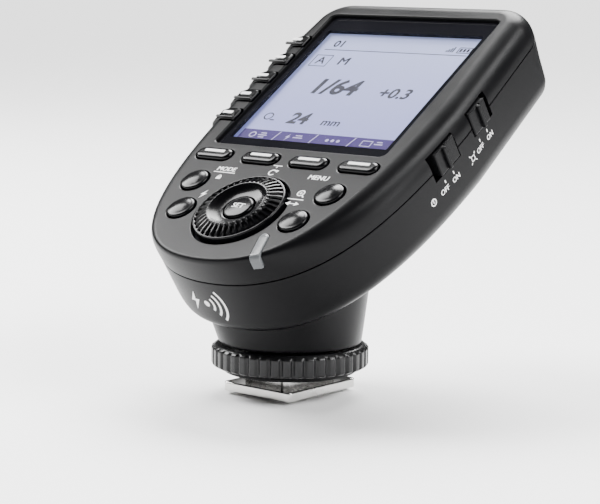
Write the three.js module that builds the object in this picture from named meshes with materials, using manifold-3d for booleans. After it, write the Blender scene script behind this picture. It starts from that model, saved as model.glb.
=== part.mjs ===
// Wireless flash trigger: a slanted control head with a screen, keys and a dial,
// on a neck that ends in a hot-shoe foot with a screw-down locking ring.
//
// Millimetres, +Z up. The origin is the centre of the foot plate's bottom face.
// +Y points to the far, higher end of the head, -Y to the user, +X to the user's right.
// The head's own frame has x as above, y along the panel towards the far end
// and z out of the panel, with z = 0 on the panel's face.

import * as THREE from 'three';
import { mergeVertices } from 'three/addons/utils/BufferGeometryUtils.js';
import Module from 'manifold-3d';

const wasm = await Module();
wasm.setup();

// ---------------------------------------------------------------- driving dimensions

const GAP = 0.3; // between two pieces that meet
const WALL = 1.8;

const TILT = THREE.MathUtils.degToRad(33.5);
const HEAD_HEIGHT = 50.4; // where the panel's plane crosses the shoe's axis

// Head outline where the two shells part
const HALF_WIDTH = 31.4;
const NOSE_END = -34.6;
const FAR_END = 57.2;
const FAR_CORNER = 8;
const NOSE_SPREAD = 24.4;
const SIDE_PULL = -15.9;
const SIDE_START = 18.4;
const SIDE_TAPER = 2.6; // how much each side comes in between SIDE_START and the far end

// Head depth
const PARTING = -6.9;
const EDGE_START = -5.5; // where the sides begin to round over onto the panel
const EDGE_REACH = 4.6;
const FAR_EDGE_REACH = 4.9;
const NOSE_EDGE = 1;
const NOSE_LIP = 0.6; // how far the nose stands out at the panel, over the parting
const UNDERSIDE = -20.5;
const BELLY_START = -15.5; // where the sides begin to round under
const BELLY_REACH = 4.8;
const NOSE_BELLY_REACH = 2.6;
const FAR_LEAN = 3.6;

// Screen
const SCREEN = { x: 23.5, low: 1.4, high: 50.1, corner: 1.5, depth: 2 };
const LEDGE = { x: 22.7, low: 3.3, high: 47.3, bottom: -3 };
const WINDOW_TOP = -0.9;
const WINDOW_BOTTOM = -1.7;
const LCD = { x: 22.4, low: 3.6, high: 47, top: -2, bottom: -2.9 };
const BACKLIGHT = { x: 22.2, low: 3.8, high: 46.8, top: -3.2, bottom: -4.1 };

// Keys
const ROUND_KEY = { radius: 3.1, hole: 3.45, flange: 3.75 };
const ROUND_KEYS = {
  mode_key: [-18.6, -11.7],
  menu_key: [18.6, -11.7],
  flash_test_key: [-15.45, -20.7],
  zoom_key: [15.45, -20.7],
};
const FUNCTION_KEY = { y: -2.7, pitch: 13.24, length: 9.7, width: 3.4, hole: 0.3 };
const GROUP_KEY = { y: 11.1, pitch: 6.98, width: 3.6, slot: 4.2, inner: -23.9 };
const GROUP_NAMES = ['a', 'b', 'c', 'd', 'e'];
const KEY_FLANGE_TOP = -2.1;
const KEY_FLANGE_BOTTOM = -2.9;

// Dial
const DIAL = { y: -19.2, radius: 10.2, hole: 10.9, ribs: 38, bore: 3.65, bottom: -2.4 };

// Status lamp strip
const LAMP = { start: [11.9, -26.5], end: [13.6, -32.4], width: 2.3, proud: 0.25, drop: 2.7, thick: 1.1 };

// Slide switches on the right wall
const SWITCH_HOLE = { low: -9, high: -3 };
const SWITCH_FACE = 31.6;
const SWITCH_BACK = 27.7;
const SWITCHES = {
  power_switch: { hole: [5.1, 14.5], knob: [6.9, 14.2], ridge: 10 },
  af_switch: { hole: [20.4, 28.7], knob: [20.7, 26.9], ridge: 24.1 },
};

// Ports on the left wall
const USB = { y: 1.5, z: -8.2, width: 9, height: 3.2 };
const JACK = { y: -15.5, z: -9.2, radius: 2.4 };

// Boards
const BOARD = { top: -4.4, bottom: -5.2, inset: 4.3 };
const MAT = { top: -3.8, bottom: -4.2, dome: -3.6 };

// Battery bay
const CELL = { radius: 7.25, length: 49.5, nub: 1, x: 7.5, z: -12.75 };
const BAY = { x: 15.1, low: -4, high: 50.7, floor: -20.3 };
const HUMP = { x: 17.9, low: -6.4, high: 55.8, bottom: -21.9, top: -18.9, wallTop: -9.2 };
const DOOR_START = 14.9;
const RAIL = { inner: 15.4, outer: 17.3, tongue: 19.2, top: -17.4, bottom: -18.4 };

// Screws
const CASE_SCREWS = [[24.4, 47.3], [-24.4, 47.3], [22, -8.2], [-22, -8.2]];
const NECK_SCREWS = [[11.5, -13.6], [-11.5, -13.6]];

// Neck and lamp boss under the head
const NECK = { bottom: 10.5, radius: 15.2, halfWidth: 17, halfDepth: 16, centre: -0.5, bore: 5.5 };
const LAMP_BOSS = { x: 9, back: 8, front: 22, bottom: 21, top: 40, corner: 3 };
const LENS = { z: 28.2, radius: 4.8 };
const COLUMN = { radius: 9.5, bottom: 4.3, pitch: 1.5, depth: 0.45 };

// Locking ring and foot
const RING = { radius: 16.7, bottom: 5.3, top: 10.1, bore: 9.9, flutes: 42, fluteDepth: 0.5 };
const WASHER = { radius: 14.2, bottom: 4.2, top: 5 };
const LOCKING_PIN = { y: 9.3, radius: 0.9 };
const FOOT = { x: 9.3, y: 11, height: 2, corner: 1 };
const STEM = { x: 6.15, low: -7.3, high: 7.3, top: 4 };
const INSULATOR = { x: 5, low: -4.4, high: 4, top: 1.4 };
const CONTACT_DROP = 0.7; // how far the contacts stand below the plate
const SHOE_PINS = [[-2.9, -2.7], [2.9, -2.7], [-2.9, 2.7]];
const FOOT_SCREWS = [[4.4, 6], [-4.4, 6], [4.4, -6.5], [-4.4, -6.5]];

// ---------------------------------------------------------------- solids

const HEAD_MATRIX = new THREE.Matrix4()
  .makeTranslation(0, 0, HEAD_HEIGHT)
  .multiply(new THREE.Matrix4().makeRotationX(TILT));
const TO_HEAD = HEAD_MATRIX.clone().invert();

function solid(geometry) {
  const bare = geometry.clone();
  bare.deleteAttribute('normal');
  bare.deleteAttribute('uv');
  const merged = mergeVertices(bare, 1e-4);
  const corners = merged.index.array;
  const triVerts = [];
  for (let i = 0; i < corners.length; i += 3) {
    const [a, b, c] = corners.slice(i, i + 3);
    if (a !== b && b !== c && c !== a) triVerts.push(a, b, c);
  }
  return new wasm.Manifold(new wasm.Mesh({
    numProp: 3,
    vertProperties: Float32Array.from(merged.attributes.position.array),
    triVerts: Uint32Array.from(triVerts),
  }));
}

function geometryOf(body) {
  const { vertProperties, triVerts } = body.getMesh();
  const geometry = new THREE.BufferGeometry();
  geometry.setAttribute('position', new THREE.BufferAttribute(Float32Array.from(vertProperties), 3));
  geometry.setIndex(new THREE.BufferAttribute(Uint32Array.from(triVerts), 1));
  geometry.computeVertexNormals();
  return geometry;
}

const join = (...bodies) => bodies.reduce((whole, body) => whole.add(body));
const cut = (body, ...tools) => tools.reduce((rest, tool) => rest.subtract(tool), body);

function block(x0, x1, y0, y1, z0, z1) {
  return new THREE.BoxGeometry(x1 - x0, y1 - y0, z1 - z0)
    .translate((x0 + x1) / 2, (y0 + y1) / 2, (z0 + z1) / 2);
}

function rod(x, y, radius, z0, z1, sides = 20) {
  return new THREE.CylinderGeometry(radius, radius, z1 - z0, sides)
    .rotateX(Math.PI / 2)
    .translate(x, y, (z0 + z1) / 2);
}

const box = (...sizes) => solid(block(...sizes));
const round = (...sizes) => solid(rod(...sizes));

// Profile points are [radius, z]; the lathe's axis becomes Z.
function turned(profile, sides = 24) {
  const points = profile.map(([radius, z]) => new THREE.Vector2(radius, z));
  return new THREE.LatheGeometry(points, sides).rotateX(Math.PI / 2);
}

function roundedRectangle(x0, x1, y0, y1, radius) {
  const shape = new THREE.Shape();
  shape.moveTo(x0 + radius, y0);
  shape.absarc(x1 - radius, y0 + radius, radius, -Math.PI / 2, 0);
  shape.absarc(x1 - radius, y1 - radius, radius, 0, Math.PI / 2);
  shape.absarc(x0 + radius, y1 - radius, radius, Math.PI / 2, Math.PI);
  shape.absarc(x0 + radius, y0 + radius, radius, Math.PI, 1.5 * Math.PI);
  return shape;
}

function slab(shape, z0, z1, curveSegments = 3) {
  return new THREE.ExtrudeGeometry(shape, { depth: z1 - z0, bevelEnabled: false, curveSegments })
    .translate(0, 0, z0);
}

// A closed skin through rings that all have the same number of points.
function loft(rings) {
  const count = rings[0].length;
  const position = rings.flat().flatMap((point) => [point.x, point.y, point.z]);
  const index = [];
  for (let r = 0; r + 1 < rings.length; r += 1) {
    for (let i = 0; i < count; i += 1) {
      const a = r * count + i;
      const b = r * count + (i + 1) % count;
      index.push(a, b, b + count, a, b + count, a + count);
    }
  }
  const flat = (ring) => ring.map((p) => new THREE.Vector2(p.x, p.y));
  const faces = (ring) => THREE.ShapeUtils.triangulateShape(flat(ring), []);
  const last = (rings.length - 1) * count;
  for (const [a, b, c] of faces(rings[0])) index.push(a, c, b);
  for (const [a, b, c] of faces(rings[rings.length - 1])) index.push(last + a, last + b, last + c);
  const geometry = new THREE.BufferGeometry();
  geometry.setAttribute('position', new THREE.Float32BufferAttribute(position, 3));
  geometry.setIndex(index);
  return geometry;
}

// A ring-shaped skin: each profile is a closed section, and sections follow each other round Z.
function revolved(sectionAt, steps) {
  const sections = Array.from({ length: steps }, (_, i) => sectionAt(i));
  const count = sections[0].length;
  const index = [];
  for (let s = 0; s < steps; s += 1) {
    for (let i = 0; i < count; i += 1) {
      const a = s * count + i;
      const b = s * count + (i + 1) % count;
      const c = ((s + 1) % steps) * count + (i + 1) % count;
      const d = ((s + 1) % steps) * count + i;
      index.push(a, d, c, a, c, b);
    }
  }
  const position = sections.flatMap((section, s) => {
    const angle = (2 * Math.PI * s) / steps;
    return section.flatMap(([radius, z]) => [radius * Math.cos(angle), radius * Math.sin(angle), z]);
  });
  const geometry = new THREE.BufferGeometry();
  geometry.setAttribute('position', new THREE.Float32BufferAttribute(position, 3));
  geometry.setIndex(index);
  return geometry;
}

// ---------------------------------------------------------------- materials

const finish = (color, roughness, metalness = 0) =>
  () => new THREE.MeshStandardMaterial({ color, roughness, metalness });
const casePlastic = finish(0x4a4a4e, 0.55);
const keyPlastic = finish(0x2c2c30, 0.42);
const glossPlastic = finish(0x101014, 0.12);
const lcdGlass = finish(0xb9bddc, 0.3);
const whitePlastic = finish(0xe8e8e8, 0.5);
const lampPlastic = finish(0xc4c8cc, 0.35);
const rubber = finish(0x6c6c70, 0.8);
const boardFibre = finish(0x1d5a34, 0.6);
const redLens = finish(0x7a1218, 0.2);
const cellSleeve = finish(0x35507a, 0.4);
const steel = finish(0xb6b6b2, 0.28, 1);
const nickel = finish(0xc9c4b4, 0.3, 1);
const gold = finish(0xc8a24a, 0.3, 1);
const darkPlastic = finish(0x1c1c1e, 0.5);

// ---------------------------------------------------------------- case outline

const taperAt = (y) =>
  SIDE_TAPER * THREE.MathUtils.clamp((y - SIDE_START) / (FAR_END - SIDE_START), 0, 1);

// Points with outward normals, anticlockwise from the nose tip.
function caseOutline() {
  const nose = new THREE.CubicBezierCurve(
    new THREE.Vector2(0, NOSE_END),
    new THREE.Vector2(NOSE_SPREAD, NOSE_END),
    new THREE.Vector2(HALF_WIDTH, SIDE_PULL),
    new THREE.Vector2(HALF_WIDTH, SIDE_START),
  );
  const noseSteps = 10;
  const cornerSteps = 4;
  const right = [];
  for (let i = 0; i <= noseSteps; i += 1) {
    const at = nose.getPoint(i / noseSteps);
    const along = nose.getTangent(i / noseSteps);
    right.push({ x: at.x, y: at.y, nx: along.y, ny: -along.x });
  }
  for (let i = 0; i <= cornerSteps; i += 1) {
    const angle = (i / cornerSteps) * (Math.PI / 2);
    const nx = Math.cos(angle);
    const ny = Math.sin(angle);
    const y = FAR_END - FAR_CORNER + FAR_CORNER * ny;
    right.push({ x: HALF_WIDTH - FAR_CORNER + FAR_CORNER * nx - taperAt(y), y, nx, ny });
  }
  const left = right.slice(1).reverse().map((p) => ({ x: -p.x, y: p.y, nx: -p.nx, ny: p.ny }));
  return [...right, ...left];
}

const OUTLINE = caseOutline();

// The outline moved in by one distance at the sides, another at the nose and another at the far end.
function caseRing(z, { side, nose, far }) {
  return OUTLINE.map(({ x, y, nx, ny }) => {
    const inset = nx * nx * side + ny * ny * (ny < 0 ? nose : far);
    return new THREE.Vector3(x - nx * inset, y - ny * inset, z);
  });
}

// How far an edge of the given reach and height has rounded over, at a fraction of its height.
const roundOver = (fraction, reach) =>
  (fraction <= 0 ? 0 : reach * (1 - Math.sqrt(Math.max(0, 1 - fraction * fraction))));

function upperInsets(z, thickness) {
  const top = -thickness;
  const edge = (z - EDGE_START) / (top - EDGE_START);
  return {
    side: thickness + roundOver(edge, EDGE_REACH - thickness),
    far: thickness + roundOver(edge, FAR_EDGE_REACH - thickness),
    nose: thickness - NOSE_LIP * (1 - z / PARTING)
      + (thickness ? 0 : roundOver((z + NOSE_EDGE) / NOSE_EDGE, NOSE_EDGE)),
  };
}

function lowerInsets(z, thickness) {
  const bottom = UNDERSIDE + thickness;
  const belly = (BELLY_START - z) / (BELLY_START - bottom);
  const lean = (FAR_LEAN * (PARTING - z)) / (PARTING - BELLY_START);
  const noseStart = UNDERSIDE + NOSE_BELLY_REACH;
  const noseBelly = (noseStart - z) / (noseStart - bottom);
  return {
    side: thickness + roundOver(belly, BELLY_REACH - thickness),
    far: thickness + lean + roundOver(belly, BELLY_REACH - thickness),
    nose: thickness + roundOver(noseBelly, NOSE_BELLY_REACH - thickness),
  };
}

function upperVolume(thickness, bottom) {
  const levels = [bottom, EDGE_START];
  for (const fraction of [0.45, 0.75, 0.94, 1]) {
    levels.push(EDGE_START + fraction * (-thickness - EDGE_START));
  }
  return solid(loft(levels.map((z) => caseRing(z, upperInsets(z, thickness)))));
}

function lowerVolume(thickness, top) {
  const bottom = UNDERSIDE + thickness;
  const levels = [];
  for (const fraction of [1, 0.92, 0.65, 0]) {
    levels.push(BELLY_START + fraction * (bottom - BELLY_START));
  }
  levels.push(top);
  return solid(loft(levels.map((z) => caseRing(z, lowerInsets(z, thickness)))));
}

const postAt = (radius, z0, z1) => CASE_SCREWS.map(([x, y]) => round(x, y, radius, z0, z1, 10));

// ---------------------------------------------------------------- status lamp

// The strip lies on the panel and turns down over the nose's edge.
function lampStrip(margin) {
  const start = new THREE.Vector2(...LAMP.start);
  const end = new THREE.Vector2(...LAMP.end);
  const along = end.clone().sub(start);
  const length = along.length();
  const half = LAMP.width / 2 + margin;
  const top = margin ? 2 : LAMP.proud;
  const shape = new THREE.Shape();
  shape.moveTo(0, -half);
  shape.lineTo(length + (margin ? 3 : 0), -half);
  shape.lineTo(length + (margin ? 3 : 0), half);
  shape.lineTo(0, half);
  shape.absarc(0, 0, half, Math.PI / 2, 1.5 * Math.PI);
  const plate = solid(slab(shape, -LAMP.thick - margin, top, 5));
  const leg = box(
    length - LAMP.thick - margin, length + (margin ? 3 : 0), -half, half, -LAMP.drop - margin, top,
  );
  const angle = Math.atan2(along.y, along.x);
  return solid(geometryOf(join(plate, leg)).rotateZ(angle).translate(start.x, start.y, 0));
}

// ---------------------------------------------------------------- keys

function pill(length, width) {
  return roundedRectangle(-length / 2, length / 2, -width / 2, width / 2, width / 2 - 0.01);
}

const functionKeyX = (i) => (i - 1.5) * FUNCTION_KEY.pitch;
const groupKeyY = (i) => GROUP_KEY.y + i * GROUP_KEY.pitch;

function functionKey() {
  const bevel = 0.6;
  const crown = new THREE.ExtrudeGeometry(
    pill(FUNCTION_KEY.length - 2 * bevel, FUNCTION_KEY.width - 2 * bevel),
    { depth: 1.6, bevelThickness: bevel, bevelSize: bevel, bevelSegments: 2, curveSegments: 3 },
  ).translate(0, 0, KEY_FLANGE_TOP);
  const [x, y] = [FUNCTION_KEY.length / 2 - 1, FUNCTION_KEY.width / 2 + 0.5];
  return cut(join(solid(crown), box(-x, x, -y, y, KEY_FLANGE_BOTTOM, KEY_FLANGE_TOP)),
    box(-9, 9, -9, 9, -9, KEY_FLANGE_BOTTOM));
}

function roundKey() {
  const { radius, flange } = ROUND_KEY;
  return turned([
    [0, KEY_FLANGE_BOTTOM],
    [flange, KEY_FLANGE_BOTTOM],
    [flange, KEY_FLANGE_TOP],
    [radius, KEY_FLANGE_TOP],
    [radius, 0.1],
    [radius - 0.4, 0.55],
    [radius - 1.5, 0.85],
    [0, 0.95],
  ], 16);
}

// The bar lies across the rounded left edge and turns down over the side wall.
function groupKey(taper) {
  const { inner, width } = GROUP_KEY;
  const section = new THREE.Shape([
    [inner, -3.5], [inner, 0.05], [inner - 0.9, 0.4], [taper - 27.4, 0.4], [taper - 29.6, -0.3],
    [taper - 31.3, -1.8], [taper - 32, -3.7], [taper - 32, -5.2], [taper - 30.4, -5.2], [taper - 29.8, -3.5],
  ].map(([x, z]) => new THREE.Vector2(x, z)));
  const bar = new THREE.ExtrudeGeometry(section, { depth: width, bevelEnabled: false })
    .rotateX(Math.PI / 2)
    .translate(0, width / 2, 0);
  const flange = block(-26.2, inner + 0.4, -width / 2 - 0.7, width / 2 + 0.7, -3.85, -3.45);
  return join(solid(bar), solid(flange));
}

// ---------------------------------------------------------------- dial

// Every second step of the sloping face is a groove.
function dialWheel() {
  const { radius, ribs, bore, bottom } = DIAL;
  return revolved((i) => {
    const sink = i % 2 ? 0.35 : 0;
    return [
      [bore, bottom], [radius, bottom], [radius, 0.9], [radius - 0.5, 1.25 - sink],
      [6.8, 2 - sink], [5.4, 0.8], [bore, 0.5],
    ];
  }, 2 * ribs);
}

const setButton = () => turned([
  [0, -3.7], [1.6, -3.7], [1.6, -1.2], [3.3, -1.2], [3.3, 0.4], [2.7, 1.05], [0, 1.35],
], 16);

// ---------------------------------------------------------------- head pieces

function switchKnob({ knob: [near, far], ridge }) {
  const low = SWITCH_HOLE.low + GAP;
  const high = SWITCH_HOLE.high - GAP;
  const pad = box(SWITCH_BACK, SWITCH_FACE, near, far, low, high);
  const flange = box(SWITCH_BACK, SWITCH_BACK + 1, near - 1.6, far + 1.6, low - 0.4, high - 1.2);
  const rib = box(SWITCH_FACE - 0.5, SWITCH_FACE + 0.6, ridge - 0.45, ridge + 0.45, low + 0.3, high - 0.3);
  const tongue = box(SWITCH_BACK - 1.3, SWITCH_BACK + 0.2, ridge - 0.7, ridge + 0.7, -8, -6.6);
  return join(pad, flange, rib, tongue);
}

function switchBody({ knob: [near, far], ridge }) {
  const slot = box(SWITCH_BACK - 1.9, SWITCH_BACK, ridge - 2.7, ridge + 2.7, -8.4, -6.2);
  const [back, front] = [SWITCH_BACK - 5.1, SWITCH_BACK - 0.5];
  return cut(box(back, front, near - 0.6, far + 0.6, -9.8, BOARD.bottom - GAP), slot);
}

const sideRod = (y, z, radius, x0, x1, sides = 16) =>
  solid(rod(0, 0, radius, x0, x1, sides).rotateY(Math.PI / 2).translate(0, y, z));

function portHoles() {
  const usb = box(
    -34, -26,
    USB.y - USB.width / 2 - GAP, USB.y + USB.width / 2 + GAP,
    USB.z - USB.height / 2 - GAP, USB.z + USB.height / 2 + GAP,
  );
  return [usb, sideRod(JACK.y, JACK.z, JACK.radius + GAP, -34, -20, 12)];
}

function switchHoles() {
  return Object.values(SWITCHES).map(({ hole: [near, far] }) =>
    box(27.5, 34, near, far, SWITCH_HOLE.low, SWITCH_HOLE.high));
}

function upperShell() {
  const outer = upperVolume(0, PARTING + GAP / 2);
  const inner = upperVolume(WALL, PARTING - 1);
  const ledge = box(
    -SCREEN.x - 1.2, SCREEN.x + 1.2, SCREEN.low - 0.9, SCREEN.high + 1.1, LEDGE.bottom, -WALL + 0.1,
  );
  const posts = postAt(2.1, PARTING + GAP / 2, -1.2).map((post) => post.intersect(outer));
  const screenHole = solid(slab(
    roundedRectangle(-SCREEN.x, SCREEN.x, SCREEN.low, SCREEN.high, SCREEN.corner), -SCREEN.depth, 2));
  const lcdHole = box(-LEDGE.x, LEDGE.x, LEDGE.low, LEDGE.high, -4, 0);
  const roundHoles = Object.values(ROUND_KEYS).flatMap(([x, y]) => [
    round(x, y, ROUND_KEY.hole, -4, 3, 18),
    round(x, y, ROUND_KEY.flange + GAP, -4, -WALL, 12),
  ]);
  const keyGap = 2 * FUNCTION_KEY.hole;
  const pillHole = pill(FUNCTION_KEY.length + keyGap, FUNCTION_KEY.width + keyGap);
  const pillHoles = [0, 1, 2, 3].map((i) =>
    solid(slab(pillHole, -4, 3).translate(functionKeyX(i), FUNCTION_KEY.y, 0)));
  const notches = GROUP_NAMES.map((_, i) => box(
    -34, GROUP_KEY.inner + GAP,
    groupKeyY(i) - GROUP_KEY.slot / 2, groupKeyY(i) + GROUP_KEY.slot / 2,
    -5.9, 3,
  ));
  const body = join(cut(outer, inner), ledge, ...posts);
  return cut(body, screenHole, lcdHole, ...roundHoles, ...pillHoles, ...notches,
    round(0, DIAL.y, DIAL.hole, -4, 3, 28), lampStrip(GAP), ...switchHoles(), ...portHoles(),
    ...postAt(1.05, PARTING - 1, -3.4));
}

// The battery bay's swelling under the head, and its far wall, as one L-shaped bar.
function bayHump() {
  const bevel = 1.3;
  const { x, low, high, bottom, top, wallTop } = HUMP;
  const section = new THREE.Shape([
    [low + bevel, top], [low + bevel, bottom + bevel + 1.5], [low + bevel + 1.5, bottom + bevel],
    [high - bevel - 1.5, bottom + bevel], [high - bevel, bottom + bevel + 1.5],
    [high - bevel, wallTop - bevel], [BAY.high + bevel, wallTop - bevel], [BAY.high + bevel, top],
  ].map(([y, z]) => new THREE.Vector2(y, z)));
  // The section is drawn on XY; one turn about each of two axes stands it across the head.
  return solid(new THREE.ExtrudeGeometry(section, {
    depth: 2 * (x - bevel), bevelThickness: bevel, bevelSize: bevel, bevelSegments: 1,
  }).translate(0, 0, bevel - x).rotateX(Math.PI / 2).rotateZ(Math.PI / 2));
}

const bayHollow = () => box(-BAY.x, BAY.x, BAY.low, BAY.high, BAY.floor, PARTING + 2);

function doorCut() {
  const { x, wallTop } = HUMP;
  const opening = box(-x, x, DOOR_START - GAP, 60, -25, wallTop);
  const half = RAIL.tongue + GAP;
  const tongueWay = box(-half, half, DOOR_START, 60, UNDERSIDE + WALL, RAIL.top + GAP);
  return join(opening, tongueWay);
}

function lowerShell() {
  const top = PARTING - GAP / 2;
  const outer = lowerVolume(0, top);
  const inner = lowerVolume(WALL, top + 1);
  const bosses = postAt(3, UNDERSIDE, top).map((boss) => boss.intersect(outer));
  const endWall = box(-16.3, 16.3, BAY.low - 1.2, BAY.low, UNDERSIDE + 1, top - 0.2);
  const ribs = [16.8, 34].flatMap((y) => [-1, 1].map((side) => {
    const [a, b] = [side * (BAY.x + 0.2), side * (HALF_WIDTH - 1.7)];
    return box(Math.min(a, b), Math.max(a, b), y, y + 1.2, RAIL.top + 0.5, top - 1.2);
  }));
  const wireHole = solid(rod(0, 0, NECK.bore, 5, 40, 16).applyMatrix4(TO_HEAD));
  const screwHoles = NECK_SCREWS.map(([x, y]) => round(x, y, 1.2, -25, -15, 8));
  return cut(join(cut(outer, inner), bayHump(), ...bosses, endWall, ...ribs),
    bayHollow(), doorCut(), wireHole, ...screwHoles, ...switchHoles(), ...portHoles(),
    ...postAt(1.15, -25, 0), ...postAt(2.1, -25, -11.3));
}

function batteryDoor() {
  const { x, wallTop } = HUMP;
  const reach = box(-x + GAP, x - GAP, DOOR_START, 60, -25, wallTop - GAP);
  const rails = [-1, 1].map((side) => {
    const bar = box(RAIL.inner, RAIL.outer, DOOR_START, BAY.high, BAY.floor - 0.3, RAIL.top);
    const tongue = box(RAIL.inner, RAIL.tongue, DOOR_START + 0.6, 46, RAIL.bottom, RAIL.top);
    return side > 0 ? join(bar, tongue) : join(bar, tongue).mirror([1, 0, 0]);
  });
  const plate = cut(bayHump().intersect(reach), bayHollow());
  const grips = [0, 1, 2, 3].map((i) =>
    box(-5, 5, 20 + 1.6 * i, 20.8 + 1.6 * i, HUMP.bottom - 1, HUMP.bottom + 0.35));
  return cut(join(plate, ...rails), ...grips);
}

function mainBoard() {
  const ring = caseRing(BOARD.bottom, { side: BOARD.inset, nose: BOARD.inset + 1.6, far: BOARD.inset });
  const raised = ring.map((p) => new THREE.Vector3(p.x, p.y, BOARD.top));
  return cut(solid(loft([ring, raised])), ...postAt(2.5, -9, 0));
}

function keypadMat() {
  const inset = { side: 3, nose: 4.2, far: 3 };
  const ring = caseRing(MAT.bottom, inset);
  const raised = ring.map((p) => new THREE.Vector3(p.x, p.y, MAT.top));
  const sheet = cut(solid(loft([ring, raised])), box(-40, 40, 0.2, 60, -9, 0),
    round(0, DIAL.y, 8.4, -9, 0, 20), ...postAt(2.6, -9, 0));
  const row = [0, 1, 2, 3].map((i) => [functionKeyX(i), FUNCTION_KEY.y]);
  const centres = [...Object.values(ROUND_KEYS), ...row];
  return join(sheet, ...centres.map(([x, y]) => round(x, y, 1.5, MAT.bottom, MAT.dome, 6)));
}

// ---------------------------------------------------------------- batteries and contacts

function cell() {
  const { radius, length, nub } = CELL;
  return turned([
    [0, 0], [radius - 0.6, 0], [radius, 0.6], [radius, length - 0.7], [radius - 0.7, length],
    [2.7, length], [2.7, length + nub], [0, length + nub],
  ], 18);
}

// A coil that widens towards the plate it stands on, along +Z.
class CoilPath extends THREE.Curve {
  constructor(height, turns, narrow, wide) {
    super();
    Object.assign(this, { height, turns, narrow, wide });
  }

  getPoint(t, target = new THREE.Vector3()) {
    const angle = 2 * Math.PI * this.turns * t;
    const radius = this.wide + (this.narrow - this.wide) * t;
    return target.set(radius * Math.cos(angle), radius * Math.sin(angle), this.height * t);
  }
}

function coilSpring() {
  const wire = new THREE.Shape().absarc(0, 0, 0.3, 0, 2 * Math.PI);
  return new THREE.ExtrudeGeometry(wire, {
    steps: 20, extrudePath: new CoilPath(1.7, 2.2, 2, 3.6), curveSegments: 2,
  }).translate(0, 0, 0.35);
}

// Turns a piece made along +Z so that it lies along the head's y, forwards or backwards.
function layAlong(geometry, x, y, forwards) {
  return geometry.clone().rotateX(forwards ? -Math.PI / 2 : Math.PI / 2).translate(x, y, CELL.z);
}

// ---------------------------------------------------------------- neck and lamp boss

function neckRing(fraction, topAt) {
  const steps = 32;
  return Array.from({ length: steps }, (_, i) => {
    const angle = (2 * Math.PI * i) / steps;
    const [c, s] = [Math.cos(angle), Math.sin(angle)];
    const power = 3.2;
    const reach = (
      Math.abs(c / NECK.halfWidth) ** power + Math.abs(s / NECK.halfDepth) ** power
    ) ** (-1 / power);
    const radius = THREE.MathUtils.lerp(NECK.radius, reach, fraction);
    const y = radius * s + NECK.centre * fraction;
    const z = THREE.MathUtils.lerp(NECK.bottom, topAt(y), fraction);
    return new THREE.Vector3(radius * c, y, z);
  });
}

function shoeNeck() {
  const insideHead = -UNDERSIDE - 3;
  const topAt = (y) => HEAD_HEIGHT + y * Math.tan(TILT) - insideHead / Math.cos(TILT);
  const skin = solid(loft([0, 0.5, 1].map((fraction) => neckRing(fraction, topAt))));
  const boss = solid(new THREE.ExtrudeGeometry(
    roundedRectangle(
      -LAMP_BOSS.x + 1, LAMP_BOSS.x - 1, LAMP_BOSS.bottom + 1, LAMP_BOSS.top, LAMP_BOSS.corner),
    {
      depth: LAMP_BOSS.front - LAMP_BOSS.back - 2,
      bevelThickness: 1, bevelSize: 1, bevelSegments: 1, curveSegments: 3,
    },
  ).rotateX(Math.PI / 2).translate(0, LAMP_BOSS.front - 1, 0));
  const groove = COLUMN.radius - COLUMN.depth;
  const thread = [[0, COLUMN.bottom], [groove, COLUMN.bottom]];
  for (let z = COLUMN.bottom + 0.2; z < NECK.bottom - COLUMN.pitch; z += COLUMN.pitch) {
    thread.push([groove, z], [COLUMN.radius, z + 0.5]);
    thread.push([COLUMN.radius, z + 0.8], [groove, z + COLUMN.pitch - 0.1]);
  }
  thread.push([groove, NECK.bottom + 1], [0, NECK.bottom + 1]);
  const column = solid(turned(thread, 16));
  const head = [
    geometryOf(lowerVolume(-GAP, PARTING)),
    geometryOf(bayHump()).scale(1.02, 1.012, 1.02),
  ].map((geometry) => solid(geometry.applyMatrix4(HEAD_MATRIX)));
  const screwHoles = NECK_SCREWS.map(([x, y]) =>
    solid(rod(x, y, 1.2, -26.5, -15, 8).applyMatrix4(HEAD_MATRIX)));
  const footHoles = FOOT_SCREWS.map(([x, y]) => round(x, y, 0.95, 0, 9.2, 8));
  return cut(join(skin, boss, column), ...head, ...screwHoles, ...footHoles,
    round(0, 0, NECK.bore, 0, 45, 16),
    box(-2.3, 2.3, 7.3, 12, 0, NECK.bottom),
    solid(rod(0, 0, LENS.radius + GAP, 17, 23, 20).rotateX(-Math.PI / 2).translate(0, 0, LENS.z)),
    solid(rod(0, 0, 1.9, 12.2, 18, 10).rotateX(-Math.PI / 2).translate(0, 0, LENS.z)));
}

const facingFar = (profile, y, sides) =>
  turned(profile, sides).rotateX(-Math.PI / 2).translate(0, y, LENS.z);

// ---------------------------------------------------------------- locking ring and foot

function lockRing() {
  const { radius, bottom, top, bore, flutes, fluteDepth } = RING;
  return revolved((i) => {
    const rim = i % 2 ? radius - fluteDepth : radius;
    return [
      [bore, bottom], [radius - 0.9, bottom], [rim, bottom + 0.5], [rim, top - 0.9],
      [radius - 1, top], [bore, top],
    ];
  }, 2 * flutes);
}

function pressureWasher() {
  const { radius, bottom, top } = WASHER;
  const disc = cut(round(0, 0, radius, bottom, top, 28), round(0, 0, RING.bore, bottom - 1, top + 1, 28));
  const key = box(-1.9, 1.9, 7.7, 11, bottom, top);
  return cut(join(disc, key), round(0, LOCKING_PIN.y, LOCKING_PIN.radius + 0.15, bottom - 1, top + 1, 12));
}

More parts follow.
